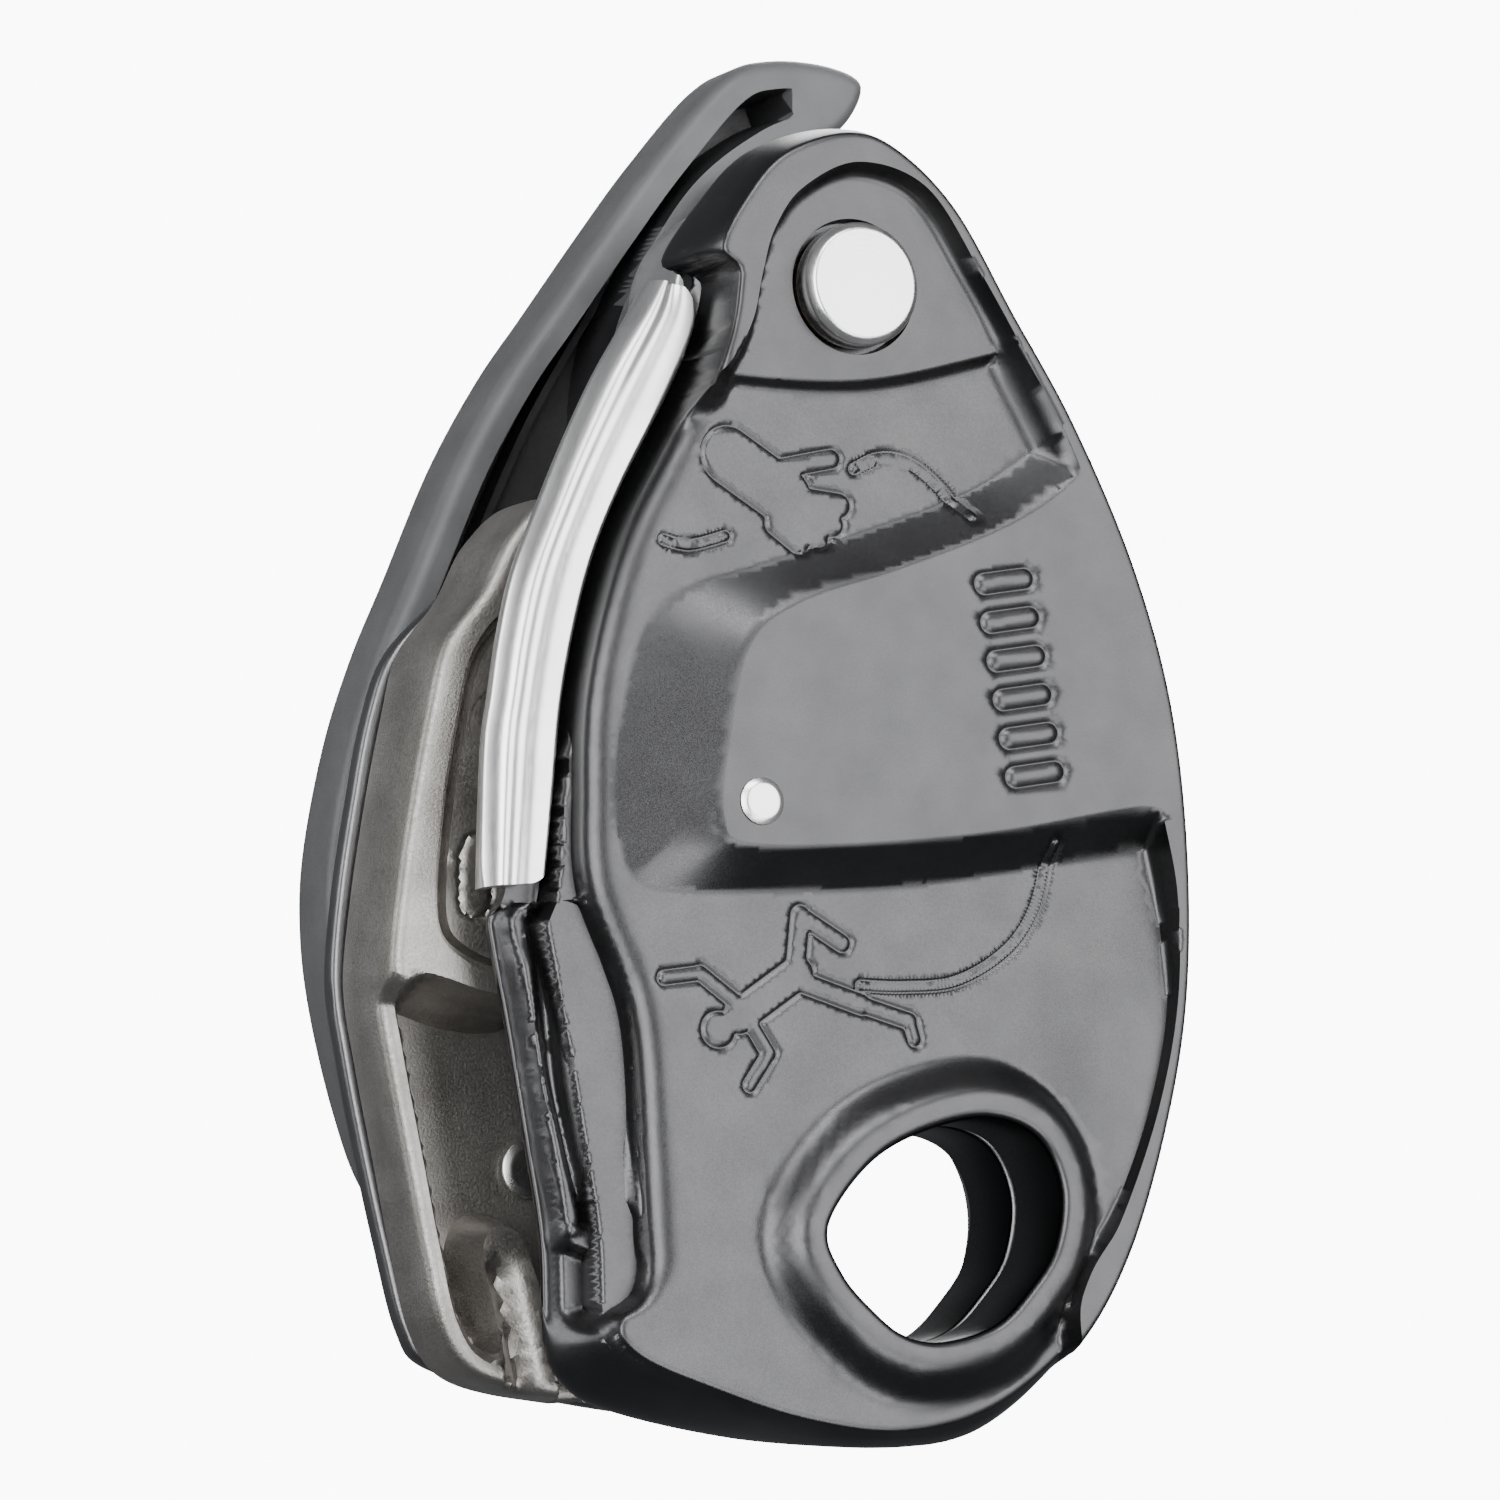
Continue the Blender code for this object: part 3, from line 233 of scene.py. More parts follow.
PLATE = [(-0.1, 82.8), (4.5, 81.3), (9.2, 76.4), (13.3, 68.2), (17.5, 59.9), (21.4, 49.4),
         (23.7, 38.8), (24.0, 27.4), (22.8, 16.2), (20.1, 6.5), (15.8, -3.1), (10.6, -9.8),
         (3.2, -14.6), (-5.2, -15.2), (-15.7, -13.4), (-24.5, -10.9), (-28.0, -8.8),
         (-29.3, -5.5), (-29.0, 2.0), (-29.6, 10.0), (-30.3, 18.0), (-31.0, 24.4),
         (-30.9, 25.6), (-29.9, 27.4), (-29.2, 31.4), (-28.0, 37.4), (-26.1, 44.6),
         (-23.6, 51.2), (-20.4, 57.0), (-16.8, 62.2), (-14.0, 66.4), (-12.2, 69.4),
         (-11.3, 70.9), (-11.1, 72.2), (-12.4, 73.6), (-10.0, 77.4), (-6.2, 81.1)]
EYE = [(-9.6, 1.0), (-6.2, 5.0), (-2.0, 7.2), (3.8, 8.2), (8.1, 6.6), (9.8, 2.7), (8.9, -1.6),
       (6.6, -4.5), (3.4, -7.0), (-1.0, -7.9), (-4.2, -7.2), (-6.6, -5.2), (-8.8, -2.4)]
# Inside this line the plate's face sinks from its rim to the pockets
BOWL = [(-9.6, 67.6), (-8.3, 71.4), (-7.0, 74.6), (-4.4, 77.6), (0.5, 79.5), (6.0, 77.5),
        (9.9, 71.0), (13.7, 63.4), (16.3, 57.4), (18.4, 50.0), (20.4, 40.0), (21.0, 31.0), (21.7, 24.0),
        (20.9, 16.0), (18.4, 8.0), (14.4, 0.0), (10.5, -5.5), (5.0, -20.0), (-40.0, -20.0),
        (-40.0, 56.0), (-16.0, 62.0), (-12.2, 64.2)]
# The raised tongue across its middle, at its crisp top edge and at its foot
TONGUE = [(15.0, 54.5), (9.3, 51.7), (0.8, 49.1), (-7.7, 46.9), (-12.2, 43.7), (-14.8, 35.7),
          (-15.5, 31.2), (-14.0, 29.3), (-5.4, 28.8), (7.0, 29.2), (18.7, 30.5), (30.0, 31.0),
          (30.0, 60.0), (21.0, 59.0)]
TONGUE_FOOT = [(14.0, 57.8), (8.3, 54.9), (-0.3, 52.3), (-9.5, 50.0), (-16.0, 48.4),
               (-19.9, 45.0), (-22.6, 36.3), (-22.9, 29.6), (-20.9, 26.6), (-12.7, 25.9),
               (-0.3, 25.7), (12.2, 26.7), (21.0, 27.6), (31.0, 29.0), (31.0, 62.0),
               (20.0, 61.0)]
PIVOT_STEP = [(-20.0, 66.0), (-11.4, 64.2), (-0.3, 63.4), (9.8, 64.9), (16.0, 66.5)]
# The raised panel and the bead on the plate's lower left wall
SIDE_PANEL = [(-27.2, 21.4), (-25.2, 22.1), (-23.8, 21.0), (-23.1, 17.0), (-22.9, 10.0),
              (-22.7, 4.0), (-23.1, 2.6), (-24.6, 3.5), (-26.0, 4.4), (-26.9, 6.0),
              (-27.6, 12.0), (-27.7, 18.0)]
SIDE_BEAD = [(-29.9, 25.6), (-29.6, 20.4), (-29.4, 13.7), (-28.6, 9.0), (-27.8, 4.3),
             (-27.7, 3.2)]

# The steel lip insert: its front edge and its back edge
LIP_INNER = [(-11.6, 70.9), (-11.6, 68.3), (-14.1, 63.6), (-18.5, 57.0), (-21.3, 52.0),
             (-23.3, 47.0), (-25.1, 41.0), (-26.3, 35.0), (-27.3, 30.0), (-27.8, 27.6)]
LIP_OUTER = [(-14.2, 71.8), (-15.8, 69.4), (-19.0, 65.0), (-22.1, 59.9), (-24.5, 55.5),
             (-27.0, 50.6), (-28.6, 45.9), (-29.7, 41.6), (-30.5, 38.3), (-31.3, 32.6),
             (-31.9, 27.6)]

# The friction body: its outline, its block, the panel let into the block, and its rib
BODY = [(-37.4, 22.0), (-37.0, 16.0), (-36.2, 9.0), (-35.4, 2.0), (-34.4, -4.0), (-32.0, -7.4),
        (-26.0, -9.3), (-20.5, -9.6), (-17.6, -5.0), (-17.0, 3.0), (-13.0, 10.5),
        (-5.0, 14.6), (6.0, 15.8), (14.0, 18.0), (17.4, 26.0), (17.0, 36.0), (13.5, 46.0),
        (6.0, 54.6), (-3.0, 56.6), (-12.0, 56.9), (-20.0, 57.4), (-24.4, 54.6), (-27.4, 50.2),
        (-30.8, 46.4), (-32.6, 41.5), (-34.4, 35.5), (-36.2, 28.5)]
BLOCK = [(-50.0, 30.0), (-38.0, 21.0), (-34.6, 20.4), (-30.2, 18.8), (-25.6, 18.4),
         (-23.2, 21.5), (-22.6, 32.0), (-22.2, 44.0), (-22.6, 50.0), (-20.6, 54.0),
         (-24.0, 60.0), (-50.0, 60.0)]
PANEL = [(-33.6, 26.0), (-31.6, 22.8), (-27.0, 21.2), (-25.0, 24.0), (-24.4, 34.0),
         (-24.2, 44.0), (-25.8, 48.2), (-29.0, 45.2), (-30.8, 40.0), (-32.4, 34.0)]
RIB = [(-31.7, 1.6), (-30.7, 3.9), (-28.6, 4.7), (-26.4, 3.6), (-25.2, 0.6), (-24.6, -3.0),
       (-24.0, -14.0), (-29.2, -14.0), (-30.4, -7.5), (-31.2, -2.0)]

FIXED = [(9.3, 83.6), (12.6, 79.0), (15.4, 71.0), (18.0, 61.5), (21.0, 50.5),
         (23.4, 39.0), (23.8, 27.5), (22.6, 16.4), (19.9, 6.9), (15.6, -2.0), (10.4, -8.4),
         (3.0, -11.6), (-6.0, -12.2), (-16.0, -11.0), (-25.5, -8.8), (-32.6, -6.4),
         (-34.6, -3.5), (-35.8, 3.0), (-36.8, 10.0), (-37.6, 17.0), (-37.9, 22.5),
         (-36.8, 29.0), (-35.0, 36.0), (-33.2, 42.0), (-31.0, 46.6), (-27.0, 50.2),
         (-22.0, 53.8), (-15.6, 56.4), (-11.4, 60.4), (-8.8, 65.6), (-7.8, 70.0),
         (-5.8, 74.6), (-2.9, 78.5), (0.6, 81.9), (4.8, 83.7)]
HANDLE = [(15.0, 89.8), (12.4, 91.5), (7.0, 92.0), (2.8, 90.6), (-3.3, 84.8), (-8.0, 79.6),
          (-13.6, 73.1), (-17.8, 68.2), (-22.4, 61.6), (-27.0, 53.2), (-30.2, 47.4),
          (-33.0, 41.0), (-35.4, 33.0), (-36.2, 27.0), (-36.0, 21.0), (-34.8, 13.5),
          (-33.0, 7.5), (-29.6, 3.2), (-24.6, 3.0), (-18.6, 8.0), (-11.0, 18.0), (-3.0, 25.0),
          (2.0, 24.0), (9.4, 26.3), (14.2, 32.4), (14.9, 38.6), (12.2, 45.0), (6.0, 49.3),
          (-1.0, 50.6), (-6.2, 54.6), (-7.8, 61.0), (-7.2, 67.4), (-4.6, 73.4), (0.6, 80.2),
          (6.6, 84.2), (12.4, 86.2)]

RIM_WIDTH = 2.9  # of the wall round the handle's hollow
HANDLE_SPINE = [(-24.0, 31.0), (-24.9, 40.0), (-22.4, 50.0), (-15.6, 63.0), (-9.0, 72.4),
                (-4.0, 79.0)]

# Outlined figures: round-ended strokes (start, end, radius) that run together into one shape
CLIMBER = [((-16.2, 16.0), (-16.1, 16.0), 1.35), ((-14.4, 16.8), (-9.2, 19.8), 1.25),
           ((-14.0, 17.5), (-17.2, 20.2), 0.6), ((-17.2, 20.2), (-20.2, 20.0), 0.55),
           ((-13.6, 16.6), (-12.2, 14.0), 0.6), ((-12.2, 14.0), (-14.0, 11.8), 0.55),
           ((-9.4, 20.0), (-8.6, 24.0), 0.8), ((-8.6, 24.0), (-5.4, 21.8), 0.7),
           ((-9.2, 19.2), (-4.2, 17.2), 0.8), ((-4.2, 17.2), (-0.4, 15.8), 0.65),
           ((-0.4, 15.8), (-0.1, 14.4), 0.55)]
HAND = [((-11.2, 58.2), (-6.8, 55.0), 2.2), ((-7.6, 57.0), (-2.7, 57.7), 0.75),
        ((-6.4, 54.9), (-2.4, 54.2), 0.95), ((-6.6, 53.8), (-3.1, 52.8), 0.95),
        ((-7.2, 53.4), (-4.4, 51.8), 0.9), ((-7.8, 53.0), (-6.0, 51.5), 0.85)]
ROPES = [[(-0.9, 56.9), (1.3, 57.7), (3.7, 57.3), (6.0, 55.5), (8.0, 52.9)],
         [(-17.1, 52.1), (-15.0, 51.6), (-12.0, 52.2)],
         [(-4.2, 18.6), (-0.5, 18.3), (3.9, 18.5), (8.3, 20.6), (11.0, 23.8), (12.5, 28.2)]]
# The plain bars down the right of the tongue
BARS = [((7.6 + 0.22 * k, 50.6 - 2.9 * k), (11.0 + 0.22 * k, 50.9 - 2.9 * k), 0.8)
        for k in range(1, 7)]
ENGRAVED = 0.18  # half the width of the line engraved round each figure
PANEL_RING, PANEL_RING_R = (-26.6, 40.0), 2.6  # engraved on the friction body's panel
HOLLOW_FLOOR = 30.3  # depth of the floor of the handle's hollow
DISH_DEPTH = 15.0  # depth that the fixed plate's dish reaches at the carabiner eye
RIVET_HOLE_R, STOP_HOLE_R, PAWL_HOLE_R = 1.8, 1.5, 1.3


# ---------------------------------------------------------------- meshes

def piece(name, body, node, material, mesh_data, sharp=40, second=None):
    """One object from (verts, faces) in millimetres, standing for a CAD node."""
    verts, faces = mesh_data
    low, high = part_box(node)
    mesh = bpy.data.meshes.new(name)
    mesh.from_pydata(np.clip(np.array(verts, float) * MM, low, high).tolist(), [], faces)
    shape = bmesh.new()
    shape.from_mesh(mesh)
    bmesh.ops.dissolve_degenerate(shape, dist=1e-7, edges=shape.edges)
    bmesh.ops.recalc_face_normals(shape, faces=shape.faces)
    shape.to_mesh(mesh)
    shape.free()
    mesh.shade_smooth()
    mesh.set_sharp_from_angle(angle=radians(sharp))
    mesh.materials.append(material)
    if second:
        other, chosen = second
        mesh.materials.append(other)
        centres = np.array([face.center for face in mesh.polygons]) / MM
        normals = np.array([face.normal for face in mesh.polygons])
        for i in np.flatnonzero(chosen(centres, normals)):
            mesh.polygons[int(i)].material_index = 1
    obj = bpy.data.objects.new(name, mesh)
    bpy.context.scene.collection.objects.link(obj)
    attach(obj, body)
    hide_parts(node)


def at_depth(loop, y):
    """A flat loop of (x, z) points lifted to a depth y."""
    return [(x, y, z) for x, z in loop]


def triangles(loops, extra=(), creases=()):
    """Points and triangles that fill the first loop and leave the other loops open.

    creases are pairs of extra points that an edge of the mesh joins.
    """
    points = np.vstack([*loops, *[e for e in extra if len(e)]])
    edges, start = [], 0
    for loop in loops:
        n = len(loop)
        edges += [(start + i, start + (i + 1) % n) for i in range(n)]
        start += n
    edges += [(start + i, start + j) for i, j in creases]
    out = delaunay_2d_cdt([tuple(p) for p in points], edges, [], 0, 1e-6)
    flat = np.array([tuple(v) for v in out[0]])
    tris = np.array([tuple(f) for f in out[2]])
    return flat, tris[inside_all(flat[tris].mean(1), loops)]


def walls(loops, first, second):
    """Quads that join two copies of the loops, whose vertices start at first and at second."""
    faces, start = [], 0
    for loop in loops:
        n = len(loop)
        for i in range(n):
            a, b = start + i, start + (i + 1) % n
            faces.append((first + a, first + b, second + b, second + a))
        start += n
    return faces


def inside_all(points, loops):
    """Which points lie inside the first loop and outside the others."""
    inside = within(points, loops[0])
    for hole in loops[1:]:
        inside &= ~within(points, hole)
    return inside


def gap_from(points, others):
    """How far each point is from the nearest of some other points."""
    return nearest_of(points, others)[1] if len(points) else np.empty(0)


def grid_over(low, high, spacing):
    """An even triangular grid of points over a box."""
    xs = np.arange(low[0], high[0], spacing)
    zs = np.arange(low[1], high[1], spacing * 0.87)
    return np.array([(x + spacing / 2 * (j % 2), z) for j, z in enumerate(zs) for x in xs])


def relief(loops, front, back, rows=(), spacing=FIELD, dense=()):
    """A solid between two depth functions, over the first loop and open at the other loops.

    rows are lines of points laid along the shape's edges, which the mesh follows.
    dense is a list of (low corner, high corner, spacing) where the grid is finer.
    """
    placed = [np.vstack(loops)]
    extra, creases, count = [], [], 0
    for row in rows:
        clear = inside_all(row, loops) & (gap_from(row, np.vstack(placed)) > 0.07)
        new = np.cumsum(clear) - 1 + count
        middle, run = (row + np.roll(row, -1, 0)) / 2, np.hypot(*(np.roll(row, -1, 0) - row).T)
        joined = inside_all(middle, loops) & (run < 1.7 * np.median(run))
        for loop in loops:
            joined &= distance(middle, loop) > 0.04
        joined &= clear & np.roll(clear, -1)
        creases += [(new[i], new[(i + 1) % len(row)]) for i in np.flatnonzero(joined)]
        extra.append(row[clear])
        placed.append(row[clear])
        count += clear.sum()
    grid = grid_over(loops[0].min(0), loops[0].max(0), spacing)
    fine = []
    for low, high, step in dense:
        grid = grid[~np.all((grid > low) & (grid < high), axis=1)]
        fine.append(grid_over(low, high, step))
    for points, step in [(grid, spacing)] + list(zip(fine, [d[2] for d in dense])):
        points = points[inside_all(points, loops)]
        extra.append(points[gap_from(points, np.vstack(placed)) > 0.6 * step])
    flat, tris = triangles(loops, extra, creases)
    n = len(flat)
    verts = [(p[0], y, p[1]) for p, y in zip(flat, front(flat))]
    verts += [(p[0], y, p[1]) for p, y in zip(flat, back(flat))]
    faces = [tuple(t) for t in tris] + [tuple(n + t[::-1]) for t in tris]
    return verts, faces + walls(loops, n, 0)


def closed_edges(loop, insets):
    """Rows just inside a loop, so that its rounded edge has something to bend on."""
    return [inset(loop, d) for d in insets]


def turned(centre, profile, sides=ROUND, rounding=0.0):
    """A solid turned about an axis along +Y, from (radius, y) pairs.

    A profile that starts and ends at radius 0 makes a solid; otherwise it closes on itself.
    """
    solid = profile[0][0] == 0 and profile[-1][0] == 0
    if rounding:
        profile = rounded(profile, rounding, solid)
    verts, rings = [], []
    for r, y in profile:
        if r == 0:
            rings.append([len(verts)] * sides)
            verts.append((centre[0], y, centre[1]))
        else:
            rings.append(list(range(len(verts), len(verts) + sides)))
            verts += at_depth(circle(centre, r, sides), y)
    pairs = list(zip(rings, rings[1:])) + ([] if solid else [(rings[-1], rings[0])])
    faces = []
    for a, b in pairs:
        for i in range(sides):
            j = (i + 1) % sides
            face = [a[i], b[i], b[j], a[j]]
            face = [v for k, v in enumerate(face) if v not in face[:k]]
            if len(face) > 2:
                faces.append(tuple(face))
    return verts, faces


def rounded(profile, radius, is_open):
    """A profile whose corners are rounded off, apart from the ends of an open one."""
    pts = [np.array(p, float) for p in profile]
    out, n = [], len(pts)
    for i, p in enumerate(pts):
        if is_open and i in (0, n - 1):
            out.append(tuple(p))
            continue
        before, after = pts[i - 1] - p, pts[(i + 1) % n] - p
        la, lb = np.linalg.norm(before), np.linalg.norm(after)
        cut = min(radius, 0.45 * la, 0.45 * lb)
        a, b = p + before / la * cut, p + after / lb * cut
        for t in (0, 0.33, 0.67, 1):
            out.append(tuple((1 - t) ** 2 * a + 2 * t * (1 - t) * p + t * t * b))
    return out


def extruded(outline, profile, holes=()):
    """A solid whose outer wall follows (inset, y) pairs, with straight holes."""
    outline = anticlockwise(outline)
    rings = [inset(outline, amount) for amount, _ in profile]
    verts, faces, n = [], [], len(outline)
    for ring, (_, y) in zip(rings, profile):
        verts += at_depth(ring, y)
    for k in range(len(rings) - 1):
        faces += walls([outline], (k + 1) * n, k * n)
    near = len(verts)
    for y in (profile[0][1], profile[-1][1]):
        for hole in holes:
            verts += at_depth(hole, y)
    held = sum(len(hole) for hole in holes)
    faces += walls(holes, near, near + held)
    for ring, base, hole_base in ((rings[0], 0, near), (rings[-1], len(verts) - 2 * held - n,
                                                        near + held)):
        _, tris = triangles([ring, *holes])
        index = list(range(base, base + n)) + list(range(hole_base, hole_base + held))
        faces += [tuple(index[i] for i in t) for t in tris]
    return verts, faces


def swept(path, radius, sides=16):
    """A round wire along a path of (x, y, z) points, with flat ends."""
    path = np.array(path, float)
    run = np.gradient(path, axis=0)
    run /= np.linalg.norm(run, axis=1)[:, None]
    side = np.cross(run[0], (0.3, 0.5, 0.8))
    verts, faces = [], []
    for p, t in zip(path, run):
        side = side - t * side.dot(t)
        side /= np.linalg.norm(side)
        other = np.cross(t, side)
        for k in range(sides):
            a = k * 2 * pi / sides
            verts.append(tuple(p + radius * (side * cos(a) + other * sin(a))))
    for r in range(len(path) - 1):
        for k in range(sides):
            a, b = r * sides + k, r * sides + (k + 1) % sides
            faces.append((a, b, b + sides, a + sides))
    last = (len(path) - 1) * sides
    faces.append(tuple(range(sides))[::-1])
    faces.append(tuple(range(last, last + sides)))
    return verts, faces


def coil(centre, radius, y0, y1, turns, start, wire):
    """A coil spring about an axis along +Y."""
    n = round(turns * 40)
    path = []
    for i in range(n + 1):
        x, z = polar(centre, radius, start + 360 * turns * i / n)
        path.append((x, y0 + (y1 - y0) * i / n, z))
    return swept(path, wire)


# ---------------------------------------------------------------- the swinging plate

def strokes(points, parts):
    """Distance outside a shape made of round-ended strokes, negative inside it."""
    out = np.full(len(points), np.inf)
    for a, b, r in parts:
        a, run = np.array(a, float), np.array(b, float) - a
        t = np.clip((points - a) @ run / max(run @ run, 1e-12), 0, 1)
        out = np.minimum(out, np.hypot(*(points - a - t[:, None] * run).T) - r)
    return out


def rope_strokes(line):
    """A curved rope as a chain of short strokes."""
    mid = curve(line, 0.3, closed=False)
    return [(a, b, 0.42) for a, b in zip(mid, mid[1:])]


FIGURES = [CLIMBER, HAND, *(rope_strokes(line) for line in ROPES), *([bar] for bar in BARS)]


def stroke_line(parts, offset, spacing=0.2):
    """Points along the edge of a shape made of strokes, at an offset outside it, in runs."""
    runs = []
    for a, b, r in parts:
        a, b = np.array(a, float), np.array(b, float)
        turn = np.degrees(np.arctan2(*(b - a)[::-1]))
        loop = [polar(b, r + offset, turn + k) for k in range(-90, 91, 15)]
        loop += [polar(a, r + offset, turn + k) for k in range(90, 271, 15)]
        line = respaced(np.array(loop + loop[:1]), spacing)
        kept = strokes(line, parts) > offset - 0.02
        start = np.flatnonzero(~kept)
        line, kept = (np.roll(v, -start[0], 0) if len(start) else v for v in (line, kept))
        cuts = np.flatnonzero(np.diff(kept.astype(int))) + 1
        runs += [run for run, on in zip(np.split(line, cuts), np.split(kept, cuts))
                 if on[0] and len(run) > 2]
    return runs


def figures(points):
    """Depth of the fine grooves round the outlined figures."""
    edge = np.vstack([run for parts in FIGURES for run in stroke_line(parts, 0, 0.06)])
    return 0.2 * smooth((ENGRAVED - gap_from(points, edge)) / 0.13)


def wall_width(points):
    """How wide the wall between the plate's rim and its pockets is."""
    z = points[:, 1]
    return 0.9 + 1.3 * smooth((z - 28) / 18) - 0.8 * smooth((z - 63) / 6)


def edge_radius(points):
    """How far in the plate's edge is rounded: soft along the left, tighter elsewhere."""
    x, z = points.T
    return 0.6 + 1.9 * smooth((-6 - x) / 6) * smooth((66 - z) / 5) * smooth((z + 6) / 6)


def plate_front(points):
    """Depth of the swinging plate's front: rim, pockets, tongue, eye ring and side walls."""
    x, z = points.T
    rim = (1 - ramp(depth_in(points, curve(BOWL)) / wall_width(points))) ** 1.6
    top = depth_in(points, curve(TONGUE))
    foot = np.clip(depth_in(points, curve(TONGUE_FOOT)), 0, None)
    tongue = np.where(top >= 0, 1, foot / (foot + np.clip(-top, 1e-6, None)))
    to_eye = distance(points, curve(EYE))
    ring = smooth((5.0 - to_eye) / 3.4) * 0.9
    step = np.interp(x, *curve(PIVOT_STEP, LINE, closed=False).T)
    shelf = 0.32 * ramp((z - step) / STEP_WIDTH + 1) ** 1.5
    shallow = 0.6 * smooth((27 - z) / 14) * smooth((x - 6) / 12)
    depth = POCKET * (1 - np.maximum.reduce([rim, tongue ** 1.05, ring, shelf, shallow]))
    from_pivot = np.hypot(x - MAIN_PIVOT[0], z - MAIN_PIVOT[1])
    seat = ramp((PIVOT_HEAD_R + 0.45 - from_pivot) / 0.15)
    depth = depth + (POCKET + 0.3 - depth) * seat + fillet(to_eye, 0.7)
    return plate_wall(points, depth) + figures(points)


def plate_wall(points, depth):
    """The front's depth, with the wall that runs back from the edge of the face."""
    x, z = points.T
    inside = depth_in(points, curve(FACE))
    outside = np.clip(-inside, 0, None)
    to_edge = distance(points, curve(PLATE))
    radius = edge_radius(points)
    t = outside / (outside + to_edge + 1e-9)
    start, back = depth + EDGE_DROP * radius, outer_depth(points) - 0.9
    wall = start + (back - start) * (0.75 * t ** 1.3 + 0.25 * (1 - np.sqrt(1 - t ** 2)))
    by_lip = (z > SEAT_LOW) & (z < SEAT_HIGH) & (x < -8)
    fall = ramp(outside / np.maximum(outside + to_edge - SEAT_WIDTH, 0.3))
    wall = np.where(by_lip, start + (LIP_SEAT - start) * (1 - (1 - fall) ** 2), wall)
    low = smooth((z + 6.0) / 3.0) * smooth((SEAT_LOW - z) / 0.8) * (x < -18)
    wall = wall + (side_wall(points, start, outside, to_edge) - wall) * low
    edge = EDGE_DROP * fillet(np.clip(inside, 0, None), radius)
    return np.where(outside > 0, wall, depth + edge)


def side_wall(points, start, outside, to_edge):
    """Depth of the lower left wall: a panel, a groove, a bead and a stepped foot."""
    x, z = points.T
    floor = 7.2 + 0.6 * smooth((z - 21.5) / 2.5) * smooth((-25.5 - x) / 2)
    floor = floor - 0.9 * smooth((3 - z) / 1)
    floor = floor + 1.2 * smooth((0.2 - 0.42 * (x + 24.5) - z) / 1.0)
    panel = smooth(depth_in(points, curve(SIDE_PANEL)) / 1.1 + 0.2)
    level = floor + (4.9 - floor) * panel
    width = 1.3 + 0.6 * smooth((z - 20.5) / 4)
    bead = smooth(1.25 - distance(points, curve(SIDE_BEAD, closed=False), closed=False) / width)
    level = level - 1.0 * bead * (1 - panel)
    hole = smooth((1.15 - np.hypot((x + 23.9) / 0.75, (z + 1.4) / 2.3)) / 0.5)
    level = level + 2.2 * hole
    level = start + (level - start) * smooth(outside / 1.1)
    return level + (8.7 - level) * smooth((1.1 - to_edge) / 1.0)


def outer_depth(points):
    """Depth of the swinging plate's back edge: shallow on the right, deep on the left."""
    x, z = points.T
    from_pivot = np.hypot(x - MAIN_PIVOT[0], z - MAIN_PIVOT[1])
    deep = smooth((-6 - x) / 9) * smooth((from_pivot - 10.0) / 3)
    return RIM_BACK + (FLANGE_BACK - RIM_BACK) * deep


def plate_back(points):
    """Depth of the swinging plate's back: flat, with a deeper rim and the eye's collar."""
    x, z = points.T
    to_edge, to_eye = distance(points, curve(PLATE)), distance(points, curve(EYE))
    rim = smooth((2.9 - to_edge) / 0.7)
    depth = PLATE_BACK + (outer_depth(points) - PLATE_BACK) * rim
    hollow = smooth((depth_in(points, curve(TONGUE)) - 3) / 1) * smooth((to_edge - 5) / 1)
    clear = smooth((np.hypot(x - SPACER[0], z - SPACER[1]) - 3.4) / 0.8)
    depth = depth - 1.6 * hollow * clear
    collar = smooth((3.4 - to_eye) / 0.8)
    depth = np.maximum(depth, PLATE_BACK + (EYE_MEET - GAP / 2 - PLATE_BACK) * collar)
    return depth - fillet(to_edge, 0.4) - fillet(to_eye, 0.4)


def shifted(line, dz):
    """An open line moved up by dz."""
    return curve(line, LINE, closed=False) + (0, dz)


def eye_bore_painted_shade(centres, normals):
    """Which faces line the carabiner eye; they get a near-black charcoal as painted shade."""
    return (distance(centres[:, [0, 2]], curve(EYE)) < 0.3) & (abs(normals[:, 1]) < 0.6)


